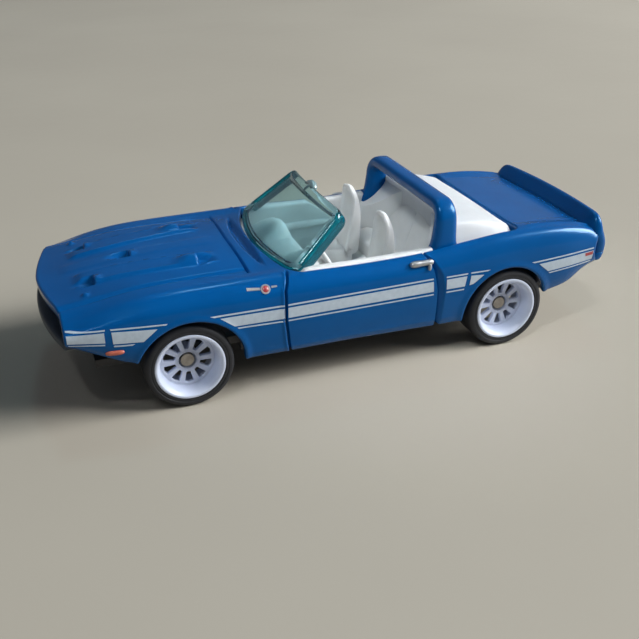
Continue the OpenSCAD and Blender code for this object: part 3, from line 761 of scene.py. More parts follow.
def printed_patch(low_front, low_rear, high_front, high_rear, lift=PRINT_LIFT):
    """Thin print on the car's left side between four corners, each an (x, z)."""
    corners = np.array([[low_front, low_rear], [high_front, high_rear]], float)
    length = np.abs(np.diff(corners[..., 0])).max()
    height = np.linalg.norm((corners[1] - corners[0]).mean(0))
    u = np.linspace(0, 1, max(2, int(length / PRINT_CELL)) + 1)[:, None]
    v = np.linspace(0, 1, max(1, int(height / PRINT_CELL)) + 1)[:, None, None]
    low, high = (front * (1 - u) + rear * u for front, rear in corners)
    flat = low * (1 - v) + high * v
    points, normals = surface_at(flat[..., 0], flat[..., 1])
    return sheet(points + normals * lift, points - normals * PRINT_SINK)


def side_stripes():
    """Broad silver band between two pin lines, broken by the wheels, the door and the scoop."""
    wing_end, door_start, door_end = 9.66, 9.18, -10.26
    # Corners of each print: low front, low rear, high front, high rear
    prints = [
        # nose block, then a block whose tip runs out over the front wheel
        [(34.95, 11.15), (30.85, 10.7), (34.95, 12.1), (30.85, 12.0)],
        [(34.95, 12.3), (30.75, 12.2), (34.95, 12.42), (30.7, 12.38)],
        [(34.8, 10.8), (30.9, 10.34), (34.85, 10.92), (30.9, 10.5)],
        [(30.0, 10.42), (26.6, 10.12), (30.05, 11.95), (24.93, 11.45)],
        [(30.1, 12.18), (23.9, 11.78), (30.15, 12.36), (23.7, 11.92)],
        [(29.95, 10.02), (27.9, 9.86), (29.95, 10.18), (27.6, 10.0)],
        # wing behind the wheel
        [(15.85, 10.1), (wing_end, 9.98), (17.55, 11.42), (wing_end, 11.32)],
        [(18.25, 11.68), (wing_end, 11.6), (18.75, 11.88), (wing_end, 11.8)],
        [(15.4, 9.7), (wing_end, 9.52), (15.55, 9.86), (wing_end, 9.68)],
        # door
        [(door_start, 9.98), (door_end, 10.1), (door_start, 11.32), (door_end + 0.1, 11.5)],
        [(door_start, 11.6), (door_end + 0.1, 11.78), (door_start, 11.8), (door_end + 0.12, 11.96)],
        [(door_start, 9.52), (door_end, 9.6), (door_start, 9.68), (door_end, 9.76)],
        # quarter: a block, and a cut corner in front of the wheel
        [(-12.1, 10.1), (-14.7, 10.1), (-12.05, 11.48), (-14.95, 11.48)],
        [(-12.0, 11.72), (-15.0, 11.72), (-12.0, 11.9), (-15.05, 11.9)],
        [(-12.1, 9.6), (-14.6, 9.6), (-12.1, 9.76), (-14.63, 9.76)],
        [(-15.38, 10.15), (-15.95, 10.25), (-15.55, 11.45), (-17.4, 11.3)],
        [(-15.5, 11.74), (-17.9, 11.72), (-15.5, 11.92), (-18.3, 11.86)],
        # behind the rear wheel
        [(-27.2, 10.15), (-34.3, 10.65), (-25.7, 11.42), (-34.4, 11.9)],
        [(-24.9, 11.7), (-34.4, 12.16), (-24.55, 11.86), (-34.42, 12.34)],
        [(-27.5, 9.8), (-34.2, 10.28), (-27.35, 9.95), (-34.25, 10.44)],
    ]
    both_sides("side_stripe", join_meshes([printed_patch(*corners) for corners in prints]),
               STRIPE, "blue_enamel")
    marker = printed_patch((-33.1, 11.28), (-34.3, 11.38), (-33.0, 11.72), (-34.3, 11.84), lift=0.06)
    both_sides("rear_marker", marker, RED, "blue_enamel")


def disc(x, z, radius, thick, inner=0.0, rise=0.0):
    """A flat round button on the side, or a ring if it has an inner radius."""
    centre, out = (a[0] for a in surface_at([x], [z]))
    a = np.array([1.0, 0, 0]) - out[0] * out
    a /= np.linalg.norm(a)
    b = np.cross(out, a)
    edge, foot, hole = min(0.05, thick / 2), -0.1, max(inner, 0.001)
    profile = [(hole, foot), (hole, thick + rise), (radius - edge, thick), (radius, thick - edge),
               (radius, foot)]
    steps = 32
    verts = [centre + (math.cos(q) * a + math.sin(q) * b) * r + out * h
             for q in around(steps) for r, h in profile]
    return np.array(verts), grid_faces(steps, len(profile), close_rows=True, close_columns=True)


def tube(points, radii, sides=16):
    """Round-ended rod through the points."""
    points = np.array(points, float)
    tangents = np.gradient(points, axis=0)
    tangents /= np.linalg.norm(tangents, axis=1, keepdims=True)

    def ring(centre, tangent, r):
        side = np.cross(tangent, (0, 0, 1))
        side /= np.linalg.norm(side)
        high = np.cross(side, tangent)
        return [centre + r * (math.cos(q) * side + math.sin(q) * high) for q in around(sides)]

    def cap(k, end):
        """Rings of the round end at point k, from its tip (end -1 or 1) to its full width."""
        return [ring(points[k] + end * tangents[k] * radii[k] * math.sqrt(1 - part * part), tangents[k],
                     radii[k] * part) for part in (0.15, 0.5, 0.8)]

    rod = [ring(*station) for station in zip(points, tangents, radii)]
    return loft(cap(0, -1) + rod + cap(-1, 1)[::-1])


def side_trim():
    """Door handles, the round badge between two bars, and the orange lamps on the front wings."""
    grip, normal = surface_at(np.linspace(-7.4, -9.85, 9), np.linspace(13.95, 14.0, 9))
    rod = tube(grip + normal * 0.2, [0.4, 0.43, 0.42, 0.4, 0.38, 0.37, 0.37, 0.38, 0.36])
    thumb, normal = surface_at(np.linspace(-9.7, -9.55, 5), np.linspace(13.9, 13.3, 5))
    nub = tube(thumb + normal * 0.14, [0.26, 0.26, 0.25, 0.24, 0.22])
    both_sides("door_handle", join_meshes([rod, nub]), CHROME, "axle_steel")

    x, z = 11.75, 13.98
    bars = [printed_patch(*corners, lift=0.07) for corners in (
        [(14.0, z + 0.08), (12.4, z - 0.02), (14.0, z + 0.36), (12.4, z + 0.2)],
        [(11.0, z + 0.02), (10.3, z + 0.04), (11.0, z + 0.2), (10.3, z + 0.18)])]
    both_sides("badge_ring", join_meshes([disc(x, z, 0.6, 0.1, inner=0.42), *bars]), CHROME, "axle_steel")
    both_sides("badge_field", disc(x, z, 0.44, 0.08, rise=0.04), RED, "blue_enamel")

    lamp, normal = surface_at(np.linspace(30.75, 29.1, 8), 9.2)
    body = tube(lamp + normal * 0.02, [0.24] + [0.3] * 6 + [0.24])
    both_sides("front_marker", body, ORANGE, "blue_enamel")


# ---------------------------------------------------------------- windscreen

def glass_point(u, h, t):
    """Place on the windscreen: u across from -1 to 1, h up from 0 to 1, t into the cabin in mm."""
    y0, y1 = 11.6 * u, 9.2 * u
    x0, x1 = 9.8 - COWL_BOW * y0 ** 2, 1.6 - 0.012 * y1 ** 2
    z0, z1 = 14.7, GLASS_TOP - 0.29 - 0.0085 * y1 ** 2
    return np.stack([x0 + (x1 - x0) * h - 0.62 * t, y0 + (y1 - y0) * h, z0 + (z1 - z0) * h - 0.78 * t], -1)


def border_steps(length, fine):
    """Distances from 0 to length, crowded at both ends."""
    left = [0, 0.07, 0.16, 0.28, 0.42, 0.6, 0.8, 1.0, 1.15, 1.3, 1.5, 1.8]
    middle = list(np.linspace(left[-1], length - left[-1], fine))
    return np.array(left + middle[1:-1] + [length - v for v in reversed(left)])


def windscreen():
    """Clear moulding with a thick rounded border, darker on its edges."""
    width, height = 22.0, 10.2
    wider, taller = 1.012, 1.03
    corner = 1.5
    A, B = np.meshgrid(border_steps(width, 34), border_steps(height, 16), indexing="ij")
    dx, dy = np.minimum(A, width - A), np.minimum(B, height - B)
    px, py = np.clip(corner - dx, 0, corner), np.clip(corner - dy, 0, corner)
    in_corner = (px > 0) & (py > 0)
    longest = np.maximum(px, py)
    pull = np.where(in_corner, 1 - longest / (np.hypot(px, py) + 1e-9), 0)
    A = A + np.sign(width / 2 - A) * px * pull
    B = B + np.sign(height / 2 - B) * py * pull
    depth = np.where(in_corner, corner - longest, np.minimum(dx, dy))
    side = smooth(2.2, 1.2, dx)
    header = smooth(height / 2, height * 0.7, B)
    rim = (smooth(0.95 + 0.45 * header, 0.6 + 0.3 * header, depth) * (1 - side)
           + smooth(1.2, 0.85, depth) * side)
    round_off = 1 - np.sqrt(1 - (1 - np.clip(depth / 0.34, 0, 1)) ** 2)
    flange = 0.85 * smooth(0.9, 0.55, dx) * smooth(0.3, 1.6, B)
    outer = 0.26 * (1 - rim) + 0.38 * round_off
    inner = 0.62 + 0.28 * rim + flange - 0.38 * round_off
    u, h = (A / width * 2 - 1) * wider, B / height * taller
    verts, faces = sheet(glass_point(u, h, outer), glass_point(u, h, inner))
    across = np.maximum(dx[:-1, :-1], dx[1:, 1:])
    foot, above_foot = B[:-1, 1:] < 0.45, B[:-1, :-1] > 1.2
    dark_front, dark_back = (foot | (across < reach) & above_foot for reach in (0.5, 0.95))
    kinds = np.ones(len(faces))
    kinds[:2 * foot.size] = np.concatenate([dark_front.ravel(), dark_back.ravel()])
    make_object("screen_glass", (verts, faces), GLASS, "teal_clear", replaces="windscreen",
                smooth_angle=60, face_materials=kinds, more_materials=(GLASS_EDGE,))


def mirror():
    """Stub of the mirror on the windscreen's header. Inside out, its clear plastic flashes like one."""
    knob = tube([(1.0, -1.3, GLASS_TOP - 0.5), (0.9, -0.5, GLASS_TOP - 0.3), (0.9, 0.2, GLASS_TOP - 0.3),
                 (1.0, 0.8, GLASS_TOP - 0.5)], [0.42, 0.52, 0.52, 0.42], sides=24)
    neck = tube([(1.8, 0, GLASS_TOP - 0.75), (1.35, 0, GLASS_TOP - 0.5), (1.0, 0, GLASS_TOP - 0.4)],
                [0.3, 0.32, 0.34], sides=20)
    make_object("mirror", join_meshes([knob, neck]), MIRROR, "teal_clear", inside_out=True)


# ---------------------------------------------------------------- cabin

def white_piece(name, mesh_data, **more):
    """A piece of the white cabin moulding."""
    make_object(name, mesh_data, WHITE, "white_plastic", **more)


def belt_height(x):
    """Height of the body's edge along the cabin, from the skin itself."""
    hits = []
    for v in x:
        hit = SKIN.ray_cast(Vector((v, 12.75, 30)), Vector((0, 0, -1)))[0]
        hits.append(hit[2] if hit else 14.6)
    return np.array(hits)


def door_cards():
    """White walls of the tub: rolled top edge, an armrest and a map pocket line."""
    xs = np.linspace(8.0, -10.9, 64)
    average = 9
    belt = np.convolve(np.pad(belt_height(xs), average // 2, mode="edge"), np.ones(average) / average,
                       mode="valid")
    rings = []
    for x, top in zip(xs, belt + 0.25 - 1.9 * smooth(6.0, 8.0, xs)):
        arm = 0.5 * smooth(4.6, 3.4, x) * smooth(-8.4, -7.2, x)
        ring = [(12.04, 6.7), (12.08, top - 0.5), (12.06, top - 0.14), (11.95, top - 0.02),
                (11.75, top + 0.02), (11.1, top), (10.92, top - 0.08), (10.84, top - 0.26),
                (10.84, top - 0.6), (11.1, 12.6), (11.12, 11.75), (11.1 - arm * 0.8, 11.6),
                (11.06 - arm, 11.4), (11.06 - arm, 11.05), (11.1 - arm * 0.6, 10.85), (11.1, 10.6),
                (11.05, 9.2), (11.0, 9.05), (11.05, 8.9), (11.0, 6.7)]
        rings.append([(x, y, z) for y, z in ring])
    both_sides("door_card", loft(rings), WHITE, "white_plastic", smooth_angle=50)


def tub_floor():
    """Floor of the tub with a raised tunnel between the seats and a ribbed footwell."""
    rings = []
    for x in np.linspace(7.9, -12.4, 54):
        tunnel = 1.1 * smooth(7.4, 6.2, x)
        ribs = 0.08 * math.cos(x * math.pi / 0.55) * smooth(0.2, 1.0, x)
        half = [(11.3, 0), (10.9, 0), (8.8, ribs), (6.1, ribs), (3.4, ribs), (2.1, 0.05),
                (1.5, tunnel * 0.8), (0.9, tunnel)]
        across = [(-y, rise) for y, rise in half] + half[::-1]
        rings.append([(x, y, FLOOR_TOP + rise) for y, rise in across]
                     + [(x, y, FLOOR_TOP - 0.9) for y, _ in across[::-1]])
    white_piece("tub_floor", loft(rings), replaces="cabin_tub", smooth_angle=35)


def rear_bench():
    """Bench cushion and backrest in one: two soft seats with a low pleat between them."""
    profile = [(-8.9, 7.0), (-8.95, 9.0), (-9.1, 9.5), (-9.5, 9.75), (-10.8, 9.95), (-12.0, 10.05),
               (-12.5, 10.3), (-12.75, 10.8), (-13.1, 11.9), (-13.6, 13.4), (-14.1, 14.9), (-14.5, 16.1),
               (-14.7, 16.8), (-14.9, 17.15), (-15.2, 17.25), (-15.4, 17.1), (-15.5, 16.5), (-15.5, 7.0)]
    left = np.concatenate([np.linspace(0, 0.45, 4), np.linspace(0.6, 11.5, 30)])
    rings = []
    for y in np.concatenate([-left[:0:-1], left]):
        sink = 0.3 * math.exp(-(y / 0.35) ** 2) + 0.35 * bump(abs(y), 5.2, 3.4)
        edge = 0.4 * smooth(9.7, 10.3, abs(y))
        highest = 17.25 - 3.4 * max(abs(y) - 10.0, 0)
        ring = []
        for x, z in profile:
            facing = smooth(9.2, 9.9, z) * smooth(-14.75, -14.3, x)
            drop = (sink * 0.35 + edge) * facing * smooth(-12, -11, x)
            ring.append((x - (sink * 0.8 + edge) * facing, y, min(z, highest) - drop))
        rings.append(ring)
    white_piece("rear_bench", loft(rings), smooth_angle=50)


def roof_cover():
    """Folded roof under its cover: crowned top and creased shoulders, in a darker copy of the white plastic
    as painted shade.
    """
    top = [(-14.1, 17.3), (-14.6, 17.5), (-16.2, 17.45), (-18.2, 17.22), (-19.9, 16.9), (-21.4, 16.5),
           (-22.3, 16.2), (-22.85, 15.85), (-23.15, 15.3)]
    rings = []
    for x in np.concatenate([np.linspace(-14.3, -21.9, 26), np.linspace(-22.0, -23.2, 12)]):
        z = polyline(top, x)
        k = smooth(-22.0, -23.2, x)
        half, crown, foot = 10.5 - 0.25 * k, 0.22 * (1 - k), 11.75 - 0.35 * k
        low = min(z - 0.35, polyline([(-14.3, 14.6), (-21.9, 15.35), (-23.2, 14.9)], x))
        shoulder_y, shoulder_z = half + 0.2, z - 0.32
        left = [(0, z + crown), (4, z + crown * 0.85), (8, z + crown * 0.35), (half - 0.6, z + 0.05),
                (half - 0.2, z - 0.02), (half + 0.05, z - 0.14), (shoulder_y, shoulder_z)]
        left += [(shoulder_y + (foot - shoulder_y) * q, shoulder_z + (low - shoulder_z) * q)
                 for q in (0.25, 0.6, 0.9)]
        left += [(foot, low - 0.1), (foot, 14.0)]
        rings.append([(x, y, z) for y, z in left] + [(x, -y, z) for y, z in left[:0:-1]])
    # The cover takes the darkened copy of the white plastic as painted shade.
    make_object("roof_cover", loft(rings), COVER_PAINTED_SHADE, "white_plastic", smooth_angle=42)


def cover_wings():
    """Wings of the roof cover that run forward to the doors on both sides of the bench."""
    outer = [(-10.35, 11.75, 14.35), (-11.2, 11.7, 14.75), (-12.6, 11.55, 15.2), (-13.9, 11.1, 16.1),
             (-14.6, 10.4, 17.1), (-14.9, 8.5, 17.5), (-14.9, 4.0, 17.6)]
    inner = [(-10.2, 10.6, 13.2), (-11.0, 9.4, 13.5), (-11.9, 8.4, 14.1), (-12.8, 7.3, 15.0),
             (-13.6, 6.1, 16.0), (-14.2, 4.9, 16.8), (-14.6, 3.6, 17.25)]

    def along(points):
        """The line through the points at thirty even steps, with its corners softened."""
        k = np.linspace(0, 1, len(points))
        soft = np.stack([np.interp(np.linspace(0, 1, 30), k, c) for c in zip(*points)], -1)
        for _ in range(6):
            soft[1:-1] = (soft[:-2] + 2 * soft[1:-1] + soft[2:]) / 4
        return soft

    o, i = along(outer), along(inner)
    lines = [o * (1 - q) + i * q + np.array([0, 0.03, -0.1]) * math.sin(math.pi * q)
             for q in np.linspace(0, 1, 10)]
    lines += [i + (-0.1, 0.2, -4.6), o + (-0.3, 0.1, -4.9)]
    both_sides("cover_wing", loft(np.stack(lines, 1)), WHITE, "white_plastic", smooth_angle=45)


def seat(name, y, node):
    """Bucket seat: an arched back with side bolsters and a recessed panel, and a cushion."""
    side = [(-2.3 + 0.05 * k, 8.6 + 6.6 * k) for k in np.linspace(0, 1, 10)]
    arch = []
    for a in np.radians(np.linspace(180, 0, 27)[1:-1]):
        arch.append((2.25 * blunt(math.cos(a), 0.75), 15.2 + 3.25 * math.sin(a) ** 0.8))
    outline = np.array(side + arch + [(-across, z) for across, z in side[::-1]])
    middle = np.array([0, 13.0])

    front = [(8, -4.9), (11.3, -5.4), (14.2, -5.95), (15.7, -6.2), (17, -6.3), (18.6, -6.0)]
    rear = [(8, -7.4), (11.6, -7.85), (14, -7.9), (16, -7.7), (17.4, -7.3), (18.6, -6.9)]

    def layer(inset, ahead, behind, w, squeeze):
        """The outline taken in by inset and narrowed, at w from the front (0) to the rear (1)."""
        d = outline - middle
        flat = middle + d * (1 - inset / np.linalg.norm(d, axis=1, keepdims=True))
        across, z = flat[:, 0] * (1 - squeeze), flat[:, 1]
        x = (polyline(front, z) + ahead) * (1 - w) + (polyline(rear, z) + behind) * w
        return np.stack([x, y + across, z], -1)

    back = loft([layer(*row) for row in (
        (1.5, -0.45, 0, 0, 0), (1.0, -0.42, 0, 0, 0), (0.72, -0.3, 0, 0, 0), (0.58, -0.1, 0, 0, 0),
        (0.42, 0, 0, 0, 0), (0.22, -0.02, 0, 0, 0), (0.07, -0.14, 0, 0, 0), (0, -0.34, 0, 0, 0),
        (0, 0, 0, 0.15, 0.02), (0, 0, 0, 0.35, 0.06), (0.02, 0, 0, 0.55, 0.13), (0.05, 0, 0, 0.75, 0.22),
        (0.16, 0, 0, 0.92, 0.3), (0.34, 0, 0, 1, 0.36), (1.0, 0, -0.05, 1, 0.4))])
    low, foot = 8.4, 7.45
    rings = []
    for x, top, half in ((-1.6, 8.6, 2.0), (-1.65, 9.3, 2.15), (-1.9, 9.75, 2.25), (-2.3, 9.98, 2.3),
                         (-3.2, 9.95, 2.3), (-4.5, 9.75, 2.3), (-6.2, 9.6, 2.3)):
        ring = []
        for q in np.linspace(0, math.pi, 21):
            c = math.cos(q)
            dip = 0.32 * bump(c, 0, 0.75) * smooth(-1.6, -2.4, x)
            ring.append((x, y + half * blunt(c, 0.4), low + (top - low) * math.sin(q) ** 0.35 - dip))
        rings.append(ring + [(x, y - half, foot), (x, y + half, foot)])
    white_piece(name, join_meshes([back, loft(rings)]), replaces=node, smooth_angle=50)


def dash():
    """Dashboard: a padded top that falls to the screen, with a hood over each end."""
    rings = []
    for y in np.linspace(-10.85, 10.85, 90):
        hood = bump(abs(y), 6.2, 3.9)
        lip = 0.85 * hood ** 0.6
        mid = 0.35 * bump(y, 0, 2.4)
        end = 0.5 * smooth(10.3, 10.85, abs(y))
        top = 13.25 + lip - end
        fall = max(hood, 0.85)
        ring = [(3.4, 8.0), (3.3, 11.6 - mid), (3.5 + 0.35 * hood, 12.2 - mid), (3.75 + 0.5 * hood, 12.7),
                (3.3, 12.9 + lip * 0.6), (3.05 - 0.1 * hood, 13.05 + lip * 0.75), (3.1, top - 0.1),
                (3.45, top), (4.1, top - 0.05), (5.2, 13.25 + lip * 0.6 - 0.35 * fall - end),
                (6.4, 13.2 + lip * 0.15 - 0.9 * fall - end), (7.6, 13.05 - 1.4 * fall - end),
                (8.3, 12.85 - 1.65 * fall - end), (8.4, 12.3 - 1.65 * fall), (6.9, 11.9 - 1.65 * fall),
                (6.8, 8.0)]
        rings.append([(x, y, z) for x, z in ring])
    white_piece("dash", loft(rings), replaces="dashboard", smooth_angle=40)


def dash_dials():
    """Round dials with raised bezels: two before the driver and one on the far side."""
    dials = []
    for y in (SEAT_Y - 1.35, SEAT_Y + 1.35, -SEAT_Y):
        rings = []
        for r, x in ((0.95, 3.6), (0.95, 3.28), (0.85, 3.22), (0.75, 3.24), (0.73, 3.34), (0.05, 3.36)):
            rings.append([(x, y + r * math.cos(q), 12.0 + r * math.sin(q) * 0.62) for q in around(28)])
        dials.append(loft(rings))
    white_piece("dash_dials", join_meshes(dials))


def steering():
    """Steering wheel: round rim, dished boss and three flat spokes, on its raked column."""
    centre = np.array([1.5, SEAT_Y, 13.1])
    rake = math.radians(62)
    axis = np.array([-math.sin(rake), 0, math.cos(rake)])
    across = np.array([0, 1.0, 0])
    up = np.cross(axis, across)
    rim, radius = 0.33, 2.27

    def ray(q):
        return math.cos(q) * across + math.sin(q) * up

    hoop = [centre + ray(q) * (radius + rim * math.cos(w)) + axis * rim * math.sin(w)
            for q in around(64) for w in around(14)]
    boss = [[centre + r * ray(q) + axis * h for q in around(32)] for r, h in (
        (0.05, 0.36), (0.4, 0.36), (0.6, 0.28), (0.7, 0.1), (0.7, -0.2), (0.55, -0.34), (0.05, -0.34))]
    column = tube([centre - axis * h for h in (0.2, 0.9, 1.6)], [0.42, 0.45, 0.5], sides=20)
    parts = [(hoop, grid_faces(64, 14, close_rows=True, close_columns=True)), loft(boss), column]
    for out in map(ray, np.radians((90, 210, 330))):
        wide = np.cross(axis, out)
        parts.append(loft([[centre + out * r + wide * (0.3 + 0.05 * (r - 1.2) ** 2) * math.cos(w)
                            + axis * 0.15 * math.sin(w) for w in around(16)]
                           for r in (0.4, 0.8, 1.4, 1.9, 2.2)]))
    white_piece("steering", join_meshes(parts), replaces="steering_wheel", smooth_angle=45)


# ---------------------------------------------------------------- wheels

def window_corners(half):
    """Outline of one opening between two spokes, pointing along X, with its corners rounded off."""
    polar = [(1.5, -0.2), (2.98, -half * 0.92), (3.18, 0), (2.98, half * 0.92), (1.5, 0.2)]
    corners = [np.array([r * math.cos(a), r * math.sin(a)]) for r, a in polar]
    outline = []
    for k, p in enumerate(corners):
        cut = 0.5 if k == 2 else 0.14
        ends = []
        for other in (corners[k - 1], corners[(k + 1) % len(corners)]):
            ends.append(p + (other - p) * min(0.45, cut / np.linalg.norm(other - p)))
        for q in np.linspace(0, 1, 5):
            outline.append((1 - q) ** 2 * ends[0] + 2 * q * (1 - q) * p + q * q * ends[1])
    return outline


def spoke_face(depth):
    """Flat face with ten bevelled windows, made from a filled curve and turned into a mesh."""
    data = bpy.data.curves.new("spoke_outline", "CURVE")
    data.dimensions = "2D"
    data.fill_mode = "BOTH"
    data.extrude = 0.2 * MM
    data.bevel_depth = 0.09 * MM
    data.bevel_resolution = 2

    def add(points):
        spline = data.splines.new("POLY")
        spline.points.add(len(points) - 1)
        spline.points.foreach_set("co", [c for x, y in points for c in (x * MM, y * MM, 0, 1)])
        spline.use_cyclic_u = True

    for radius, count in ((3.36, 96), (1.22, 48)):
        add([(radius * math.cos(a), radius * math.sin(a)) for a in around(count)])
    spokes, half_spoke = 10, 4.2
    outline = window_corners(math.radians(180 / spokes - half_spoke))
    for a in around(spokes) + math.pi / spokes:
        c, s = math.cos(a), math.sin(a)
        add([(c * x - s * y, s * x + c * y) for x, y in outline])
    obj = bpy.data.objects.new("spoke_outline", data)
    scene.collection.objects.link(obj)
    bpy.context.view_layer.update()
    mesh = obj.evaluated_get(bpy.context.evaluated_depsgraph_get()).to_mesh()
    verts = np.array([v.co[:] for v in mesh.vertices]) / MM + (0, 0, depth)
    faces = [tuple(f.vertices) for f in mesh.polygons]
    bpy.data.objects.remove(obj)
    return verts, faces


def on_corner(mesh_data, end, side):
    """Place a wheel part, drawn round Z with its face at 0, on a corner of the car."""
    verts, faces = mesh_data
    x, y, z = verts.T
    placed = np.stack([end * WHEEL_X + x, side * (WHEEL_FACE - z), TYRE_R + y], -1)
    return placed, faces if side > 0 else [f[::-1] for f in faces]


def wheels():
    """Deep-dished wheels with ten spokes, plain tyres with a raised shoulder ring, and axle heads."""
    rim = revolve([(4.3, 0.35), (4.3, 0.08), (4.27, 0.03), (4.22, 0), (4.02, 0), (3.96, 0.02), (3.9, 0.1),
                   (3.78, 0.26), (3.68, 0.4), (3.6, 0.62), (3.5, 1.1), (3.42, 1.5), (3.36, 1.72),
                   (3.3, 1.86), (3.3, 4.2), (4.05, 4.2), (4.05, 0.35)], 128, closed=True)
    boss = revolve([(0.66, 3.0), (1.02, 3.0), (1.06, 2.9), (1.08, 1.96), (1.12, 1.84), (1.19, 1.8),
                    (1.3, 1.8), (1.4, 1.86), (1.45, 2.3), (1.4, 4.3), (0.66, 4.3)], 64, closed=True)
    hub = join_meshes([rim, spoke_face(2.1), boss])
    tyre = revolve([(4.3, 0.36), (4.31, 0.16), (4.36, 0.07), (4.46, 0.03), (4.62, 0.03), (4.68, 0.07),
                    (4.74, 0.07), (4.8, 0.02), (4.98, 0.02), (5.1, 0.05), (5.24, 0.12), (5.36, 0.26),
                    (5.44, 0.46), (TYRE_R, 0.72), (TYRE_R, 3.95), (5.43, 4.2), (5.3, 4.4), (5.0, 4.5),
                    (4.1, 4.3), (4.05, 0.36)], 144, closed=True)
    head = revolve([(0.001, 1.98), (0.25, 1.99), (0.42, 2.04), (0.5, 2.14), (0.56, 2.2), (0.72, 2.22),
                    (0.8, 2.28), (0.82, 2.38), (0.82, 2.9), (0.001, 2.9)], 48)
    for end_name, end in (("front", 1), ("rear", -1)):
        for side_name, side in (("left", 1), ("right", -1)):
            corner = end_name + "_" + side_name
            for kind, mesh_data, material, slot in (("hub_", hub, WHEEL, "wheel_white"),
                                                    ("tyre_", tyre, TYRE, "tyre_rubber")):
                make_object("piece_" + kind + corner, on_corner(mesh_data, end, side), material, slot,
                            body="wheel_" + corner, replaces=kind + corner, smooth_angle=35)
            make_object("axle_head_" + corner, on_corner(head, end, side), STEEL, "axle_steel",
                        body=end_name + "_axle_wire")


# ---------------------------------------------------------------- nose and tail inserts

def round_rect(a0, a1, b0, b1, r, steps=4):
    """Closed outline of a rectangle with rounded corners, in its own two directions."""
    points = []
    corners = [(a1 - r, b1 - r), (a0 + r, b1 - r), (a0 + r, b0 + r), (a1 - r, b0 + r)]
    for quarter, (a, b) in enumerate(corners):
        for q in (quarter + np.linspace(0, 1, steps + 1)) * math.pi / 2:
            points.append((a + r * math.cos(q), b + r * math.sin(q)))
    return points


def bowed_strip(end, x_front, bow, half, z0, z1, depth, r, middle=0.0):
    """Rounded bar across the car, its front bowed like the nose (end 1) or the tail (end -1)."""
    rounding = [(-half, 0.75 * r), (-half + 0.25 * r, 0.3 * r), (-half + 0.6 * r, 0.08 * r)]
    straight = [(y, 0) for y in np.linspace(-half + r, half - r, 33 if half > 2 else 5)]
    rings = []
    for across, inset in rounding + straight + [(-y, i) for y, i in rounding[::-1]]:
        y = across + middle
        front = x_front - bow * (y / max(half, abs(middle) + half)) ** 2
        outline = round_rect(front - depth + inset, front - inset, z0 + inset, z1 - inset,
                             max(r - inset, 0.02))
        rings.append([(end * x, y, z) for x, z in outline][::end])
    return loft(rings)


def lamp_ring(x, y, z, r, depth):
    """Round lamp facing the nose: rim and domed lens."""
    def facing_nose(profile):
        verts, faces = revolve(profile, 40, closed=True)
        return (np.stack([x - verts[:, 2], y + verts[:, 0], z + verts[:, 1]], -1), [f[::-1] for f in faces])

    inner = r - 0.3
    rim = facing_nose([(r, depth), (r, 0.08), (r - 0.08, 0), (r - 0.2, 0), (r - 0.26, 0.08),
                       (r - 0.28, depth)])
    lens = facing_nose([(0.01, -0.02), (inner * 0.4, 0.0), (inner * 0.75, 0.1), (inner, 0.25),
                        (inner, depth), (0.01, depth)])
    return rim, lens


def nose_insert():
    """Dark insert behind the nose: slatted grille, two round lamps, bumper bar and chin."""
    half = 8.9
    parts = [bowed_strip(1, 34.7, 1, 12.15, 9.4, 12.7, 0.8, 0.12),
             bowed_strip(1, 37.35, 2, 12.1, 9.45, 10.6, 2.0, 0.42),
             bowed_strip(1, 36.2, 1.2, 8.2, 8.0, 9.6, 1.9, 0.35),
             bowed_strip(1, 34.7, 0.2, 4.9, 5.8, 9.6, 3.9, 0.25)]
    for z in 11.65 + 0.33 * np.arange(-3, 4):
        parts.append(bowed_strip(1, 35.1, 1, half, z - 0.07, z + 0.07, 0.6, 0.06))
    for y in (-6, -3, 0, 3, 6):
        front = 35.22 - 0.45 * (y / half) ** 2
        parts.append(bowed_strip(1, front, 0, 0.1, 10.5, 12.75, 0.5, 0.05, middle=y))
    rims, lenses = zip(*(lamp_ring(34.9, y, 11.6, 1.05, 0.9) for y in (-10.4, 10.4)))
    make_object("nose_grille", join_meshes([*parts, *rims]), BLACK, "grille_black", replaces="front_grille",
                smooth_angle=35)
    make_object("nose_lamps", join_meshes(lenses), LAMP, "grille_black")


def tail_insert():
    """Dark panel across the tail with three upright lamps on each side, and the rear bumper."""
    parts = [bowed_strip(-1, 36.0, 0.5, 10.1, 9.3, 13.4, 0.9, 0.12),
             bowed_strip(-1, 36.25, 0.5, 10.1, 12.95, 13.4, 0.6, 0.12),
             bowed_strip(-1, 37.45, 1.1, 11.0, 8.95, 10.2, 1.3, 0.4),
             bowed_strip(-1, 35.5, 0.5, 8.4, 5.75, 9.3, 4.2, 0.85)]
    lamps = []
    for y in (-4.95, -6.7, -8.45, 4.95, 6.7, 8.45):
        back = 0.4 * (y / 10) ** 2
        parts.append(bowed_strip(-1, 36.2 - back, 0, 0.78, 10.5, 12.75, 0.5, 0.2, middle=y))
        lamps.append(bowed_strip(-1, 36.32 - back, 0, 0.6, 10.68, 12.57, 0.5, 0.18, middle=y))
    make_object("tail_board", join_meshes(parts), BLACK, "grille_black", replaces="tail_panel",
                smooth_angle=35)
    make_object("tail_lamps", join_meshes(lamps), RED, "grille_black")


def rivets():
    """Two domed rivet heads in the base. The front one stands in for the CAD node of both."""
    verts, faces = revolve([(0.01, 0.0), (0.6, 0.02), (1.2, 0.08), (1.6, 0.2), (1.78, 0.36), (1.78, 0.6),
                            (0.7, 0.6), (0.68, 3.6), (0.01, 3.6)], 48)
    base_z = 4.62
    for name, x, node in (("rivet_front", 28.6, "base_rivets"), ("rivet_rear", -29.4, None)):
        make_object(name, (verts + (x, 0, base_z), [f[::-1] for f in faces]), RIVET, "rivet_steel",
                    replaces=node)


# ---------------------------------------------------------------- stage

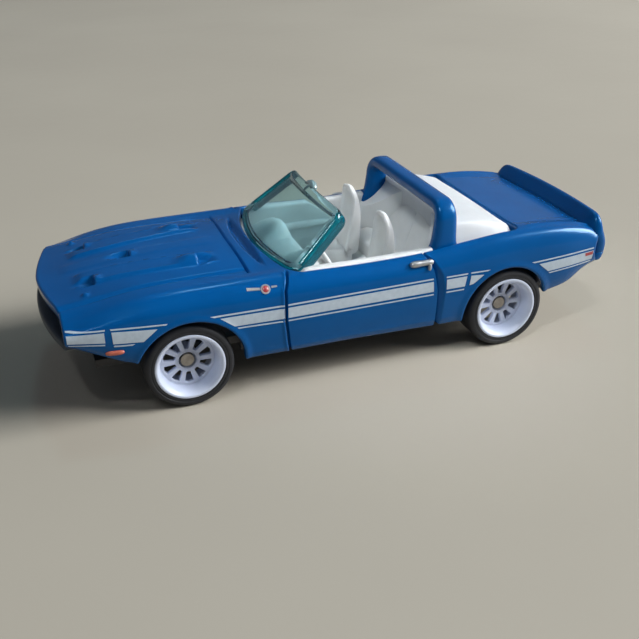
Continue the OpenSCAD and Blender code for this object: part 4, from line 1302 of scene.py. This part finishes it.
def camera():
    """The viewpoint: a hand-held shot from the car's left front, a little above it."""
    data = bpy.data.cameras.new("camera")
    data.lens = 48.42
    data.sensor_width = 36
    data.clip_start = 0.005
    cam = bpy.data.objects.new("camera", data)
    scene.collection.objects.link(cam)
    yaw, pitch, roll = (math.radians(angle) for angle in (-109.7857, -27.7581, -0.5497))
    ahead = Vector((math.cos(pitch) * math.cos(yaw), math.cos(pitch) * math.sin(yaw), math.sin(pitch)))
    right = ahead.cross(Vector((0, 0, 1))).normalized()
    up = right.cross(ahead)
    c, s = math.cos(roll), math.sin(roll)
    right, up = c * right + s * up, c * up - s * right
    place = Matrix((right, up, -ahead)).transposed().to_4x4()
    place.translation = Vector((36.7487, 101.8173, 58.0207)) * MM
    cam.matrix_world = place
    scene.camera = cam


def area_light(name, place, target, size, power, colour, spread=180):
    """A square light in millimetres and watts, aimed at its target."""
    data = bpy.data.lights.new(name, "AREA")
    data.energy = power
    data.color = colour
    data.size = size * MM
    data.spread = math.radians(spread)
    light = bpy.data.objects.new(name, data)
    scene.collection.objects.link(light)
    light.location = Vector(place) * MM
    direction = (Vector(target) - Vector(place)).normalized()
    light.rotation_euler = direction.to_track_quat("-Z", "Y").to_euler()


def floor():
    """Pale paper sheet under the car."""
    m = Nodes("floor_paper")
    m.colours(m.noise(0.012, 4), (0.44, 0.4, 0.33), (0.47, 0.43, 0.355))
    m.rough(m.noise(0.3, 3), 0.55, 0.65)
    m.bumps(m.noise(1.5, 3), 0.02, 0.25)
    mesh = bpy.data.meshes.new("floor")
    half = 2.0
    mesh.from_pydata([(-half, -half, 0), (half, -half, 0), (half, half, 0), (-half, half, 0)], [],
                     [(0, 1, 2, 3)])
    mesh.materials.append(m.material)
    paper = bpy.data.objects.new("floor", mesh)
    scene.collection.objects.link(paper)


def room():
    """Dim surroundings, brighter behind the car's tail, as from a pale wall."""
    world = bpy.data.worlds.new("studio")
    scene.world = world
    world.use_nodes = True
    nodes, links = world.node_tree.nodes, world.node_tree.links
    place = nodes.new("ShaderNodeTexCoord")
    split = nodes.new("ShaderNodeSeparateXYZ")
    towards_tail = nodes.new("ShaderNodeMapRange")
    towards_tail.inputs["From Min"].default_value = -0.25
    towards_tail.inputs["From Max"].default_value = -0.75
    blend = nodes.new("ShaderNodeMix")
    blend.data_type = "RGBA"
    dim, bright, result = blend.inputs[6], blend.inputs[7], blend.outputs[2]
    dim.default_value = (0.1, 0.11, 0.125, 1)
    bright.default_value = (0.3, 0.31, 0.32, 1)
    links.new(place.outputs["Generated"], split.inputs["Vector"])
    links.new(split.outputs["X"], towards_tail.inputs["Value"])
    links.new(towards_tail.outputs["Result"], blend.inputs["Factor"])
    links.new(result, nodes["Background"].inputs["Color"])


def plain_cad_nodes():
    """CAD nodes whose shape stays get their finish here."""
    for node, material in (("base_plate", BASE), ("front_axle", STEEL), ("rear_axle", STEEL)):
        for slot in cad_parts[node].material_slots:
            slot.material = material


camera()
floor()
room()
area_light("window", (-1250, 390, 845), (0, 0, 10), 780, 38.0, (0.97, 0.985, 1))
area_light("ceiling", (-140, -430, 880), (0, 0, 10), 105, 0.5, (0.5, 0.86, 1))
area_light("cabin_fill", (60, 75, 190), (-9, -1, 13), 60, 0.0038, (0.9, 0.96, 1), spread=13)
scene.view_settings.view_transform = "Standard"
SKIN = body_shell()   # surface_at and belt_height look for the paint on it
roll_bar()
tail_lip()
side_stripes()
side_trim()
windscreen()
mirror()
door_cards()
tub_floor()
rear_bench()
roof_cover()
cover_wings()
seat("seat_left", SEAT_Y - 0.3, "driver_seat")
seat("seat_right", 0.3 - SEAT_Y, "passenger_seat")
dash()
dash_dials()
steering()
wheels()
nose_insert()
tail_insert()
rivets()
plain_cad_nodes()
